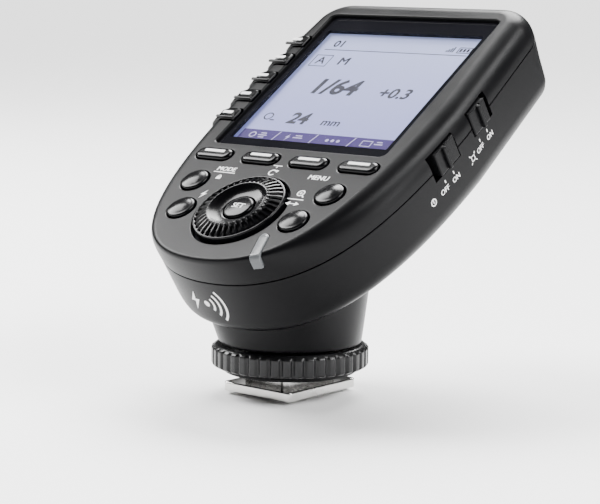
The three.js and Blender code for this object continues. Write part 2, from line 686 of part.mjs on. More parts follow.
function footPlate() {
  const rim = 0.3;
  const plate = solid(new THREE.ExtrudeGeometry(
    roundedRectangle(-FOOT.x + rim, FOOT.x - rim, -FOOT.y + rim, FOOT.y - rim, FOOT.corner),
    {
      depth: FOOT.height - 2 * rim,
      bevelThickness: rim, bevelSize: rim, bevelSegments: 1, curveSegments: 2,
    },
  ).translate(0, 0, rim));
  const stem = box(-STEM.x, STEM.x, STEM.low, STEM.high, FOOT.height - 0.5, STEM.top);
  const pocket = box(
    -INSULATOR.x - GAP, INSULATOR.x + GAP, INSULATOR.low - GAP, INSULATOR.high + GAP,
    -1, INSULATOR.top + GAP,
  );
  return cut(join(plate, stem), pocket, box(-4.2, 4.2, -3.8, 3.8, 0, 6),
    ...FOOT_SCREWS.flatMap(([x, y]) => [round(x, y, 0.95, -1, 6, 8), round(x, y, 1.6, -1, 1, 12)]),
    round(0, LOCKING_PIN.y, LOCKING_PIN.radius + GAP, -1, 5, 12));
}

function footInsulator() {
  const plate = box(-INSULATOR.x, INSULATOR.x, INSULATOR.low, INSULATOR.high, 0, INSULATOR.top);
  const pinHoles = SHOE_PINS.map(([x, y]) => round(x, y, 0.85, -1, 3, 10));
  return cut(plate, round(0, 0, 1.45, -1, 3, 16), ...pinHoles);
}

// A sprung contact: tip below the foot, collar above the insulator, tail up the stem.
function contactPin(radius, collar, sides) {
  return turned([
    [0, -CONTACT_DROP], [radius - 0.3, -CONTACT_DROP], [radius, -CONTACT_DROP + 0.3],
    [radius, INSULATOR.top + GAP], [collar, INSULATOR.top + GAP], [collar, INSULATOR.top + 0.8],
    [radius * 0.6, INSULATOR.top + 0.8], [radius * 0.6, 5], [0, 5],
  ], sides);
}

// A screw made along +Z with its head down.
function screw(head, headHeight, shaft, length) {
  return turned([
    [0, 0.35], [head * 0.4, 0], [head - 0.2, 0], [head, headHeight],
    [shaft, headHeight], [shaft, length], [0, length],
  ], 10);
}

// ---------------------------------------------------------------- assembly

const trigger = new THREE.Group();
const head = new THREE.Group();
head.position.z = HEAD_HEIGHT;
head.rotation.x = TILT;
trigger.add(head);

function add(parent, name, shape, material, x = 0, y = 0, z = 0) {
  const geometry = shape.isBufferGeometry ? shape : geometryOf(shape);
  const mesh = new THREE.Mesh(geometry, material());
  mesh.name = name;
  mesh.position.set(x, y, z);
  parent.add(mesh);
}

// Shells
add(head, 'upper_shell', upperShell(), casePlastic);
add(head, 'lower_shell', lowerShell(), casePlastic);
add(head, 'battery_door', batteryDoor(), casePlastic);
add(trigger, 'shoe_neck', shoeNeck(), casePlastic);

// Screen
const windowShape = roundedRectangle(
  -SCREEN.x + GAP, SCREEN.x - GAP, SCREEN.low + GAP, SCREEN.high - GAP, SCREEN.corner - GAP);
add(head, 'screen_window', slab(windowShape, WINDOW_BOTTOM, WINDOW_TOP), glossPlastic);
add(head, 'lcd_panel', block(-LCD.x, LCD.x, LCD.low, LCD.high, LCD.bottom, LCD.top), lcdGlass);
add(head, 'lcd_backlight', block(
  -BACKLIGHT.x, BACKLIGHT.x, BACKLIGHT.low, BACKLIGHT.high, BACKLIGHT.bottom, BACKLIGHT.top), whitePlastic);

// Keys
for (let i = 0; i < 4; i += 1) {
  add(head, `function_key_${i + 1}`, functionKey(), keyPlastic, functionKeyX(i), FUNCTION_KEY.y);
}
GROUP_NAMES.forEach((letter, i) =>
  add(head, `group_key_${letter}`, groupKey(taperAt(groupKeyY(i))), keyPlastic, 0, groupKeyY(i)));
for (const [name, [x, y]] of Object.entries(ROUND_KEYS)) add(head, name, roundKey(), keyPlastic, x, y);

// Dial
add(head, 'dial_wheel', dialWheel(), keyPlastic, 0, DIAL.y);
add(head, 'set_button', setButton(), keyPlastic, 0, DIAL.y);
const encoder = cut(round(0, 0, 7.8, -4.2, -2.8, 20), round(0, 0, 2.2, -5, 0, 12));
add(head, 'dial_encoder', encoder, darkPlastic, 0, DIAL.y);
add(head, 'status_lamp', lampStrip(0), lampPlastic);

// Side switches
for (const [name, place] of Object.entries(SWITCHES)) {
  add(head, `${name}_knob`, switchKnob(place), keyPlastic);
  add(head, `${name}_body`, switchBody(place), darkPlastic);
}

// Boards and ports
add(head, 'keypad_mat', keypadMat(), rubber);
add(head, 'main_board', mainBoard(), boardFibre);
add(head, 'radio_shield', block(-9, 9, -29.5, -15.5, -8.2, BOARD.bottom - GAP), steel);
const usbShell = cut(
  box(-29.2, -22.3, USB.y - 4.5, USB.y + 4.5, USB.z - 1.6, USB.z + 1.6),
  box(-31, -23.3, USB.y - 4.15, USB.y + 4.15, USB.z - 1.25, USB.z + 1.25),
);
add(head, 'usb_port', usbShell, steel);
add(head, 'sync_jack', cut(
  sideRod(JACK.y, JACK.z, JACK.radius, -24.9, -14.5),
  sideRod(JACK.y, JACK.z, 1.25, -27, -16, 12),
), darkPlastic);

// Batteries: cell 1 has its nub at the far end, cell 2 at the near end.
const nearPlate = BAY.low + 0.2;
const farPlate = BAY.high - 0.7;
const lyingCell = cell();
const spring = coilSpring();
add(head, 'battery_cell_1', layAlong(lyingCell, CELL.x, nearPlate + 2.95, true), cellSleeve);
add(head, 'battery_cell_2', layAlong(lyingCell, -CELL.x, farPlate - 2.6, false), cellSleeve);
add(head, 'battery_spring_1', layAlong(spring, CELL.x, nearPlate + 0.3, true), nickel);
add(head, 'battery_spring_2', layAlong(spring, -CELL.x, farPlate - 0.05, false), nickel);
add(head, 'battery_contact_plate', block(-14, 14, nearPlate, nearPlate + 0.3, -18, -9.2), nickel);
add(head, 'door_contact_bridge', block(-14, 14, farPlate, farPlate + 0.3, -18, -10.4), nickel);

// Lamp under the head
add(trigger, 'af_lamp_lens', facingFar([
  [0, 0], [LENS.radius, 0], [LENS.radius, 1.6], [LENS.radius * 0.7, 2], [0, 2.3],
], 20.3, 20), redLens);
add(trigger, 'af_lamp_led', facingFar([[0, 0], [1.6, 0], [1.6, 4.2], [1, 5], [0, 5.2]], 13, 10), redLens);

// Locking ring and foot
add(trigger, 'lock_ring', lockRing(), keyPlastic);
add(trigger, 'pressure_washer', pressureWasher(), steel);
add(trigger, 'locking_pin', rod(0, LOCKING_PIN.y, LOCKING_PIN.radius, 0.25, WASHER.top, 16), steel);
add(trigger, 'foot_plate', footPlate(), steel);
add(trigger, 'foot_insulator', footInsulator(), darkPlastic);
add(trigger, 'centre_contact', contactPin(1.15, 1.9, 14), gold);
SHOE_PINS.forEach(([x, y], i) => add(trigger, `shoe_pin_${i + 1}`, contactPin(0.6, 0.95, 8), gold, x, y));

// Screws
const footScrew = screw(1.35, 0.85, 0.7, 8.8);
FOOT_SCREWS.forEach(([x, y], i) => add(trigger, `foot_screw_${i + 1}`, footScrew, steel, x, y, 0.1));
const caseScrew = screw(1.8, 1.2, 0.85, 8.9);
CASE_SCREWS.forEach(([x, y], i) => add(head, `case_screw_${i + 1}`, caseScrew, steel, x, y, -12.8));
const neckScrew = screw(1.8, 1.2, 0.95, 7.4).rotateX(Math.PI);
NECK_SCREWS.forEach(([x, y], i) =>
  add(head, `neck_screw_${i + 1}`, neckScrew, steel, x, y, UNDERSIDE + WALL + GAP + 1.2));

export default trigger;
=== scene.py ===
"""Looks for a wireless flash trigger: shells, keys, dial, display and hot-shoe foot.

Head pieces are made in the head's own frame, in millimetres: x to the user's right,
y along the panel to the far end, z out of the panel, 0 on the panel's face.
Shoe pieces are made in the object's frame, in millimetres.
"""

import math
from types import SimpleNamespace as Sizes

import bmesh
import bpy
import numpy as np
from mathutils import Matrix, Vector


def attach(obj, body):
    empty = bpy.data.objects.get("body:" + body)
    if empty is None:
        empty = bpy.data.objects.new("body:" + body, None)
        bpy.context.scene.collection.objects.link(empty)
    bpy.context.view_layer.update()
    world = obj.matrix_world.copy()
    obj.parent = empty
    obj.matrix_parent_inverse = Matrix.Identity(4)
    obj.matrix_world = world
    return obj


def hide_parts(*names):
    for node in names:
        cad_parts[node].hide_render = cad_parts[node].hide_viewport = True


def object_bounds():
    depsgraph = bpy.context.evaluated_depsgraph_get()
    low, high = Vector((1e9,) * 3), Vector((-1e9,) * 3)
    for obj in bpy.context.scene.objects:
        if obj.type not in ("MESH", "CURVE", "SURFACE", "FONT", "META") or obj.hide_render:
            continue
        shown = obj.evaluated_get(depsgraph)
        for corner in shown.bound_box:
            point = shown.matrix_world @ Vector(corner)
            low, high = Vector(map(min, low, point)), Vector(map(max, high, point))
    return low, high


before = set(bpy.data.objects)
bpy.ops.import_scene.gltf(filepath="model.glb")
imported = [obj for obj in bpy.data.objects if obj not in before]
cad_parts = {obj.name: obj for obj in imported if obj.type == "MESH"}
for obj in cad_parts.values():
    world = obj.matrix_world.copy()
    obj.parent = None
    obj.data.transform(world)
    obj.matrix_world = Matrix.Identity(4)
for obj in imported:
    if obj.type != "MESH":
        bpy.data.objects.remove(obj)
cad_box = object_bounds()

# ---------------------------------------------------------------- frame and driving sizes (mm)

MM = 0.001
TILT = math.radians(33.5)
HEAD_HEIGHT = 50.4
SHOE = Matrix.Scale(MM, 4)
HEAD = SHOE @ Matrix.Translation((0, 0, HEAD_HEIGHT)) @ Matrix.Rotation(TILT, 4, "X")

HALF_WIDTH, NOSE_END, FAR_END = 31.4, -34.6, 57.2
FAR_CORNER, NOSE_SPREAD, SIDE_PULL, SIDE_START, SIDE_TAPER = 8.0, 24.4, -15.9, 18.4, 2.6
WALL, GAP = 1.8, 0.3
PARTING, SEAM = -6.9, 0.1
EDGE_START, EDGE_REACH, FAR_EDGE_REACH = -5.5, 4.6, 4.9
NOSE_EDGE, NOSE_LIP = 1.0, 0.6
UNDERSIDE, BELLY_START, BELLY_REACH, NOSE_BELLY_REACH = -20.5, -15.5, 4.8, 2.6
FAR_LEAN = 3.6

SCREEN = Sizes(x=23.5, low=1.4, high=50.1, corner=1.5, depth=2.0)
LEDGE = Sizes(x=22.7, low=3.3, high=47.3, bottom=-3.0)
WINDOW = Sizes(top=-0.9, bottom=-1.7)
DISPLAY = Sizes(x=21.7, low=4.7, high=44.9, top=-2.0)

ROUND_HOLE, ROUND_RADIUS = 3.45, 3.1
ROUND_KEYS = {
    "mode_key": (-18.6, -11.7),
    "menu_key": (18.6, -11.7),
    "flash_test_key": (-15.45, -20.7),
    "zoom_key": (15.45, -20.7),
}
FUNCTION = Sizes(y=-2.7, pitch=13.24, half_x=4.85, half_y=1.7, gap=0.3)
FUNCTION_X = [(i - 1.5) * FUNCTION.pitch for i in range(4)]
GROUP = Sizes(y=11.1, pitch=6.98, half=1.8, slot=2.1, inner=-23.9)
GROUP_Y = {letter: GROUP.y + i * GROUP.pitch for i, letter in enumerate("abcde")}
DIAL = Sizes(y=-19.2, radius=10.2, hole=10.9, ribs=38, bore=3.65, bottom=-2.4)
LAMP = Sizes(start=(11.9, -26.5), end=(13.6, -32.4), half=1.15, proud=0.25, drop=2.7, thick=1.1)
SWITCH_Z = (-9.0, -3.0)
SWITCH_FACE, SWITCH_BACK = 31.6, 27.7
SWITCHES = {
    "power_switch": dict(hole=(5.1, 14.5), knob=(6.9, 14.2), ridge=10.0),
    "af_switch": dict(hole=(20.4, 28.7), knob=(20.7, 26.9), ridge=24.1),
}
USB = Sizes(y=1.5, z=-8.2, half_y=4.5, half_z=1.6)
JACK = Sizes(y=-15.5, z=-9.2, radius=2.4)
CASE_SCREWS = [(24.4, 47.3), (-24.4, 47.3), (22.0, -8.2), (-22.0, -8.2)]
NECK_SCREWS = [(11.5, -13.6), (-11.5, -13.6)]

HUMP = Sizes(x=17.9, low=-6.4, high=55.8, bottom=-21.9, wall_top=-9.2)
BAY = Sizes(x=15.1, low=-4.0, high=50.7, floor=-20.3)
DOOR_START = 14.9
RAIL = Sizes(inner=15.4, outer=17.3, tongue=19.2, top=-17.4, bottom=-18.4)
CELL = Sizes(radius=7.25, length=49.5, nub=1.0, x=7.5, z=-12.75)

NECK = Sizes(bottom=10.5, radius=15.2, half_x=17.0, half_y=16.0, centre=-0.5, bore=5.5)
BOSS = Sizes(x=9.0, back=8.0, front=22.0, bottom=21.0, top=40.0, corner=3.0)
LENS = Sizes(z=28.2, radius=4.8)
COLUMN = Sizes(radius=9.5, bottom=4.3, pitch=1.5, depth=0.45)
RING = Sizes(radius=16.7, bottom=5.3, top=10.1, bore=9.9, flutes=42)
WASHER = Sizes(bore=9.95, radius=14.2, bottom=4.2, top=5.0)
PIN_Y, PIN_RADIUS = 9.3, 0.9
FOOT = Sizes(x=9.3, y=11.0, height=2.0)
STEM = Sizes(x=6.15, y=7.3, top=4.0)
INSULATOR = Sizes(x=5.0, low=-4.4, high=4.0, top=1.4)
SHOE_PINS = [(-2.9, -2.7), (2.9, -2.7), (-2.9, 2.7)]
FOOT_SCREWS = [(4.4, 6.0), (-4.4, 6.0), (4.4, -6.5), (-4.4, -6.5)]


# ---------------------------------------------------------------- meshes

def quarter(steps, first=0):
    """Angles over a quarter turn, in equal steps."""
    return [math.pi / 2 * i / steps for i in range(first, steps + 1)]


def make(name, vertices, faces, place=HEAD, weld=1e-4):
    """A mesh object from millimetre coordinates, welded, with its faces turned outwards."""
    mesh = bpy.data.meshes.new(name)
    mesh.from_pydata([tuple(v) for v in vertices], [], [tuple(f) for f in faces])
    work = bmesh.new()
    work.from_mesh(mesh)
    bmesh.ops.remove_doubles(work, verts=work.verts, dist=weld)
    bmesh.ops.dissolve_degenerate(work, dist=weld, edges=work.edges)
    bmesh.ops.recalc_face_normals(work, faces=work.faces)
    work.to_mesh(mesh)
    work.free()
    mesh.transform(place)
    piece = bpy.data.objects.new(name, mesh)
    bpy.context.scene.collection.objects.link(piece)
    return piece


def skin(name, rings, place=HEAD, closed=False):
    """A skin through rings of equal length; its ends are capped unless it closes on itself."""
    count = len(rings[0])
    total = len(rings)
    faces = []
    for r in range(total if closed else total - 1):
        below, above = r * count, ((r + 1) % total) * count
        for i in range(count):
            j = (i + 1) % count
            faces.append((below + i, below + j, above + j, above + i))
    if not closed:
        faces.append(tuple(range(count))[::-1])
        faces.append(tuple((total - 1) * count + i for i in range(count)))
    return make(name, [p for ring in rings for p in ring], faces, place)


def rounded(cx, cy, half_x, half_y, radius, grow=0.0, steps=8):
    """Outline of a rounded rectangle, grown outwards; a circle when the radius fills it."""
    points = []
    for corner, (sx, sy) in enumerate([(1, -1), (1, 1), (-1, 1), (-1, -1)]):
        for i in range(steps + 1):
            angle = (corner - 1 + i / steps) * math.pi / 2
            points.append((
                cx + sx * (half_x - radius) + (radius + grow) * math.cos(angle),
                cy + sy * (half_y - radius) + (radius + grow) * math.sin(angle),
            ))
    return points


def stack(name, shape, levels, place=HEAD, steps=8):
    """A solid from one rounded outline at several (grow, z) levels."""
    return skin(name, [[(x, y, z) for x, y in rounded(*shape, grow=grow, steps=steps)]
                       for grow, z in levels], place)


def circle(x, y, radius):
    return (x, y, radius, radius, radius)


def lathe(name, profile, place=SHOE, steps=64):
    """A solid of revolution about Z from (radius, z) points; it closes on itself off the axis."""
    rings = []
    for i in range(steps):
        angle = 2 * math.pi * i / steps
        rings.append([(r * math.cos(angle), r * math.sin(angle), z) for r, z in profile])
    on_axis = profile[0][0] == 0 and profile[-1][0] == 0
    count = len(profile)
    faces = []
    for s in range(steps):
        here, there = s * count, ((s + 1) % steps) * count
        for i in range(count - 1 if on_axis else count):
            j = (i + 1) % count
            faces.append((here + i, here + j, there + j, there + i))
    return make(name, [p for ring in rings for p in ring], faces, place)


def wheel(name, profile_at, steps, place):
    """A ring whose (radius, z) section changes round the turn."""
    rings = []
    for i in range(steps):
        turn = i / steps
        angle = 2 * math.pi * turn
        rings.append([(r * math.cos(angle), r * math.sin(angle), z) for r, z in profile_at(turn)])
    return skin(name, rings, place, closed=True)


def block(name, x0, x1, y0, y1, z0, z1, place=HEAD):
    corners = [(x, y, z) for z in (z0, z1) for x, y in ((x0, y0), (x1, y0), (x1, y1), (x0, y1))]
    faces = [(3, 2, 1, 0), (4, 5, 6, 7), (0, 1, 5, 4), (1, 2, 6, 5), (2, 3, 7, 6), (3, 0, 4, 7)]
    return make(name, corners, faces, place)


def prism(name, outline, x0, x1, place=HEAD):
    """A (y, z) outline drawn across x."""
    return skin(name, [[(x, y, z) for y, z in outline] for x in (x0, x1)], place)


def settle(piece):
    """Turns a piece's modifiers into plain mesh."""
    evaluated = piece.evaluated_get(bpy.context.evaluated_depsgraph_get())
    mesh = bpy.data.meshes.new_from_object(evaluated)
    piece.modifiers.clear()
    piece.data = mesh
    return piece


def combine(piece, tools, operation):
    """Joins or cuts with each tool in turn; the tools are used up."""
    for tool in tools:
        step = piece.modifiers.new("combine", "BOOLEAN")
        step.operation = operation
        step.solver = "MANIFOLD"
        step.object = tool
        bpy.context.view_layer.update()
        settle(piece)
        bpy.data.objects.remove(tool)
    return piece


def cut(piece, *tools):
    return combine(piece, tools, "DIFFERENCE")


def join(piece, *tools):
    return combine(piece, tools, "UNION")


def ease_edges(piece, width, segments=3, angle=32):
    """Rounds a simple piece's sharp edges."""
    step = piece.modifiers.new("edges", "BEVEL")
    step.width = width * MM
    step.segments = segments
    step.limit_method = "ANGLE"
    step.angle_limit = math.radians(angle)
    step.harden_normals = False
    bpy.context.view_layer.update()
    return settle(piece)


def finish(piece, material, body, node=None, angle=34):
    """Smooth shading, material, the body it rides on and the CAD node it stands for."""
    mesh = piece.data
    mesh.materials.clear()
    mesh.materials.append(material)
    for face in mesh.polygons:
        face.use_smooth = True
    mesh.set_sharp_from_angle(angle=math.radians(angle))
    normals = piece.modifiers.new("normals", "WEIGHTED_NORMAL")
    normals.keep_sharp = True
    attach(piece, body)
    if node:
        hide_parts(node)
    return piece


# ---------------------------------------------------------------- materials

def material(name):
    made = bpy.data.materials.new(name)
    made.use_nodes = True
    nodes = made.node_tree.nodes
    return made, nodes, made.node_tree.links, nodes["Principled BSDF"]


def noise(nodes, links, scale, detail=3.0, roughness=0.5):
    """Noise over object coordinates; scale is in cells per metre."""
    coordinates = nodes.new("ShaderNodeTexCoord")
    texture = nodes.new("ShaderNodeTexNoise")
    texture.inputs["Scale"].default_value = scale
    texture.inputs["Detail"].default_value = detail
    texture.inputs["Roughness"].default_value = roughness
    links.new(coordinates.outputs["Object"], texture.inputs["Vector"])
    return texture.outputs["Fac"]


def spread(nodes, links, source, low, high, from_low=0.3, from_high=0.7):
    """Maps a noise value onto a range."""
    ramp = nodes.new("ShaderNodeMapRange")
    ramp.inputs["From Min"].default_value = from_low
    ramp.inputs["From Max"].default_value = from_high
    ramp.inputs["To Min"].default_value = low
    ramp.inputs["To Max"].default_value = high
    links.new(source, ramp.inputs["Value"])
    return ramp.outputs["Result"]


def tint(nodes, links, factor, dark, light):
    mix = nodes.new("ShaderNodeMix")
    mix.data_type = "RGBA"
    mix.inputs["A"].default_value = (*dark, 1)
    mix.inputs["B"].default_value = (*light, 1)
    links.new(factor, mix.inputs["Factor"])
    return mix.outputs["Result"]


def bumps(nodes, links, shader, heights):
    """Bump layers from (height, distance in mm, strength), chained into the shader's normal."""
    normal = None
    for height, distance, strength in heights:
        layer = nodes.new("ShaderNodeBump")
        layer.inputs["Distance"].default_value = distance * MM
        layer.inputs["Strength"].default_value = strength
        links.new(height, layer.inputs["Height"])
        if normal:
            links.new(normal, layer.inputs["Normal"])
        normal = layer.outputs["Normal"]
    links.new(normal, shader.inputs["Normal"])


def moulded(name, colour, roughness, grain=5200, depth=0.012, vary=0.05, specular=0.1, coat=0.0):
    """Moulded plastic: spark-eroded grain, slight unevenness of gloss and tone."""
    made, nodes, links, shader = material(name)
    broad = noise(nodes, links, 55, 2)
    grit = noise(nodes, links, grain, 2, 0.6)
    dark = tuple(c * 0.88 for c in colour)
    light = tuple(c * 1.12 for c in colour)
    colour_mix = tint(nodes, links, spread(nodes, links, broad, 0, 1), dark, light)
    links.new(colour_mix, shader.inputs["Base Color"])
    gloss = nodes.new("ShaderNodeMath")
    gloss.operation = "ADD"
    links.new(spread(nodes, links, broad, roughness - vary, roughness + vary), gloss.inputs[0])
    links.new(spread(nodes, links, grit, -vary, vary), gloss.inputs[1])
    links.new(gloss.outputs[0], shader.inputs["Roughness"])
    shader.inputs["Specular IOR Level"].default_value = specular
    shader.inputs["Coat Weight"].default_value = coat
    shader.inputs["Coat Roughness"].default_value = 0.12
    bumps(nodes, links, shader, [(grit, depth, 0.6), (broad, 0.05, 0.15)])
    return made


def polished_metal(name, colour, roughness, streak=900):
    """Plated steel with fine polishing lines and faint smudges."""
    made, nodes, links, shader = material(name)
    coordinates = nodes.new("ShaderNodeTexCoord")
    stretch = nodes.new("ShaderNodeMapping")
    stretch.inputs["Scale"].default_value = (1.0, 0.06, 1.0)
    lines = nodes.new("ShaderNodeTexNoise")
    lines.inputs["Scale"].default_value = streak * 4
    lines.inputs["Detail"].default_value = 2
    links.new(coordinates.outputs["Object"], stretch.inputs["Vector"])
    links.new(stretch.outputs["Vector"], lines.inputs["Vector"])
    smudge = noise(nodes, links, 160, 3)
    dull = tuple(c * 0.85 for c in colour)
    links.new(tint(nodes, links, smudge, dull, colour), shader.inputs["Base Color"])
    links.new(spread(nodes, links, smudge, roughness - 0.06, roughness + 0.08), shader.inputs["Roughness"])
    shader.inputs["Metallic"].default_value = 1.0
    bumps(nodes, links, shader, [(lines.outputs["Fac"], 0.004, 0.5)])
    return made


def printed(name, colour, roughness=0.5):
    """Pad-printed ink: slightly uneven cover."""
    made, nodes, links, shader = material(name)
    cover = noise(nodes, links, 6000, 2)
    faded = tuple(c * 0.8 for c in colour)
    colour_mix = tint(nodes, links, spread(nodes, links, cover, 0, 1), faded, colour)
    links.new(colour_mix, shader.inputs["Base Color"])
    shader.inputs["Roughness"].default_value = roughness
    shader.inputs["Specular IOR Level"].default_value = 0.15
    bumps(nodes, links, shader, [(cover, 0.005, 0.4)])
    return made


def lit(name, low, high, strength, y_low, y_high):
    """Backlit display film whose tone changes along the head, with a fine pixel grid."""
    made, nodes, links, shader = material(name)
    coordinates = nodes.new("ShaderNodeTexCoord")
    along = nodes.new("ShaderNodeVectorMath")
    along.operation = "DOT_PRODUCT"
    along.inputs[1].default_value = (0, math.cos(TILT), math.sin(TILT))
    links.new(coordinates.outputs["Object"], along.inputs[0])
    lift = HEAD_HEIGHT * math.sin(TILT)
    factor = spread(nodes, links, along.outputs["Value"], 0, 1, (y_low + lift) * MM, (y_high + lift) * MM)
    cloud = noise(nodes, links, 45, 2)
    colour = tint(nodes, links, factor, low, high)
    patch = nodes.new("ShaderNodeMix")
    patch.data_type = "RGBA"
    patch.blend_type = "MULTIPLY"
    links.new(spread(nodes, links, cloud, 0, 0.25), patch.inputs["Factor"])
    links.new(colour, patch.inputs["A"])
    patch.inputs["B"].default_value = (0.86, 0.84, 0.97, 1)
    links.new(patch.outputs["Result"], shader.inputs["Base Color"])
    links.new(patch.outputs["Result"], shader.inputs["Emission Color"])
    shader.inputs["Emission Strength"].default_value = strength
    shader.inputs["Roughness"].default_value = 0.35
    grid = noise(nodes, links, 4200, 1)
    bumps(nodes, links, shader, [(grid, 0.003, 0.3)])
    return made


def clear_glass(name):
    """Thin clear window: mostly see-through, with a faint gloss."""
    made, nodes, links, shader = material(name)
    shader.inputs["Base Color"].default_value = (0.02, 0.02, 0.025, 1)
    shader.inputs["Alpha"].default_value = 0.06
    shader.inputs["Specular IOR Level"].default_value = 0.08
    smear = noise(nodes, links, 90, 2)
    links.new(spread(nodes, links, smear, 0.03, 0.1), shader.inputs["Roughness"])
    made.surface_render_method = "BLENDED"
    return made


CASE = moulded("case_plastic", (0.0025, 0.0025, 0.003), 0.36)
KEY = moulded("key_plastic", (0.0015, 0.0015, 0.002), 0.2, grain=7000, depth=0.006, specular=0.16)
KNOB = moulded("knob_plastic", (0.003, 0.003, 0.0035), 0.32)
RING_PLASTIC = moulded("ring_plastic", (0.005, 0.005, 0.0055), 0.3, specular=0.3)
INNER = moulded("inner_plastic", (0.012, 0.012, 0.012), 0.55)
BORDER = moulded("window_border", (0.006, 0.006, 0.008), 0.1, grain=3000, depth=0.001, vary=0.03)
LIGHT_PIPE = moulded("light_pipe", (0.1, 0.105, 0.11), 0.3, depth=0.004, coat=0.3)
WHITE_MARK = printed("white_mark", (0.9, 0.9, 0.9), 0.4)
INK = printed("white_ink", (0.9, 0.9, 0.9), 0.55)
RED_LENS = moulded("red_lens", (0.2, 0.008, 0.012), 0.14, grain=2500, depth=0.002, vary=0.03, coat=0.8)
GLASS = clear_glass("window_clear")
STEEL = polished_metal("plated_steel", (0.72, 0.71, 0.69), 0.2)
GOLD = polished_metal("gold_plate", (0.75, 0.52, 0.2), 0.24)
LCD_FACE = lit("display_face", (0.12, 0.13, 0.33), (0.22, 0.25, 0.42), 1.3, 4, 45)
LCD_BAND = printed("display_band", (0.03, 0.012, 0.13), 0.3)
LCD_INK = printed("display_ink", (0.002, 0.003, 0.02), 0.5)
LCD_PALE = printed("display_pale", (0.45, 0.42, 0.66), 0.35)
BOARD = moulded("circuit_board", (0.01, 0.07, 0.025), 0.4)
SILICONE = moulded("silicone", (0.11, 0.11, 0.12), 0.7)
SLEEVE = moulded("cell_sleeve", (0.03, 0.06, 0.16), 0.3, depth=0.002, coat=0.4)


# ---------------------------------------------------------------- case outline

def bezier(t):
    """Nose quarter from the tip to the right side: point and outward normal."""
    p = np.array([(0, NOSE_END), (NOSE_SPREAD, NOSE_END),
                  (HALF_WIDTH, SIDE_PULL), (HALF_WIDTH, SIDE_START)], float)
    u = 1 - t
    at = u ** 3 * p[0] + 3 * u * u * t * p[1] + 3 * u * t * t * p[2] + t ** 3 * p[3]
    along = u * u * (p[1] - p[0]) + 2 * u * t * (p[2] - p[1]) + t * t * (p[3] - p[2])
    along /= np.hypot(*along)
    return at, np.array((along[1], -along[0]))


def taper_at(y):
    """How far the sides have come in towards the far end."""
    return SIDE_TAPER * min(max((y - SIDE_START) / (FAR_END - SIDE_START), 0.0), 1.0)


def case_outline(nose_steps=44, side_steps=8, corner_steps=12):
    """Points with outward normals, anticlockwise from the nose tip."""
    right = [bezier(i / nose_steps) for i in range(nose_steps + 1)]
    top = FAR_END - FAR_CORNER
    for i in range(1, side_steps):
        y = SIDE_START + (top - SIDE_START) * i / side_steps
        right.append((np.array((HALF_WIDTH - taper_at(y), y)), np.array((1.0, 0.0))))
    for i in range(corner_steps + 1):
        angle = i / corner_steps * math.pi / 2
        normal = np.array((math.cos(angle), math.sin(angle)))
        corner = np.array((HALF_WIDTH - FAR_CORNER, top)) + FAR_CORNER * normal
        right.append((corner - (taper_at(corner[1]), 0), normal))
    left = [(p * (-1, 1), n * (-1, 1)) for p, n in right[:0:-1]]
    return right + left


OUTLINE = case_outline()


def case_ring(z, insets):
    side, nose, far = insets
    ring = []
    for (x, y), (nx, ny) in OUTLINE:
        inset = nx * nx * side + ny * ny * (nose if ny < 0 else far)
        ring.append((x - nx * inset, y - ny * inset, z))
    return ring


def round_over(fraction, reach):
    fraction = min(max(fraction, 0.0), 1.0)
    return reach * (1 - math.sqrt(1 - fraction * fraction))


def upper_insets(z, thick=0.0):
    edge = (z - EDGE_START) / (-thick - EDGE_START)
    nose = thick - NOSE_LIP * (1 - z / PARTING)
    if not thick:
        nose += round_over((z + NOSE_EDGE) / NOSE_EDGE, NOSE_EDGE)
    return (thick + round_over(edge, EDGE_REACH - thick), nose,
            thick + round_over(edge, FAR_EDGE_REACH - thick))


def lower_insets(z, thick=0.0):
    bottom = UNDERSIDE + thick
    belly = (BELLY_START - z) / (BELLY_START - bottom)
    lean = FAR_LEAN * (PARTING - z) / (PARTING - BELLY_START)
    nose_start = UNDERSIDE + NOSE_BELLY_REACH
    nose_belly = (nose_start - z) / (nose_start - bottom)
    return (thick + round_over(belly, BELLY_REACH - thick),
            thick + round_over(nose_belly, NOSE_BELLY_REACH - thick),
            thick + lean + round_over(belly, BELLY_REACH - thick))


def arc_fractions(steps):
    return [math.sin(a) for a in quarter(steps, 1)]


def shrink(insets, amount):
    return tuple(value + amount for value in insets)


def upper_volume(name, thick=0.0, bottom=PARTING + SEAM):
    rings = []
    if not thick:
        for angle in quarter(4)[:-1]:
            z = bottom + 0.15 * math.sin(angle)
            rings.append(case_ring(z, shrink(upper_insets(z), 0.15 * (1 - math.sin(angle)))))
        start = bottom + 0.15
    else:
        start = bottom
    levels = [start, (start + EDGE_START) / 2, EDGE_START]
    levels += [EDGE_START + f * (-thick - EDGE_START) for f in arc_fractions(14 if not thick else 6)]
    rings += [case_ring(z, upper_insets(z, thick)) for z in levels]
    return skin(name, rings)


def lower_volume(name, thick=0.0, top=PARTING - SEAM):
    bottom = UNDERSIDE + thick
    levels = [BELLY_START + f * (bottom - BELLY_START) for f in arc_fractions(10 if not thick else 5)][::-1]
    levels += [BELLY_START, (BELLY_START + top) / 2, top - (0 if thick else 0.15)]
    rings = [case_ring(z, lower_insets(z, thick)) for z in levels]
    if not thick:
        for angle in quarter(4, 1):
            z = top - 0.15 + 0.15 * math.sin(angle)
            rings.append(case_ring(z, shrink(lower_insets(z), 0.15 * (1 - math.cos(angle)))))
    return skin(name, rings)


def flared(shape, top=0.0, depth=6.0, radius=0.3, steps=8):
    """A cutter whose mouth opens in a quarter round at the surface it leaves."""
    levels = [(0, top - depth)]
    levels += [(radius * (1 - math.cos(a)), top - radius + radius * math.sin(a))
               for a in quarter(5)[:-1]]
    levels += [(radius, top), (radius + 0.3, top + 0.12), (radius + 0.3, top + 3)]
    return stack("cutter", shape, levels, steps=steps)


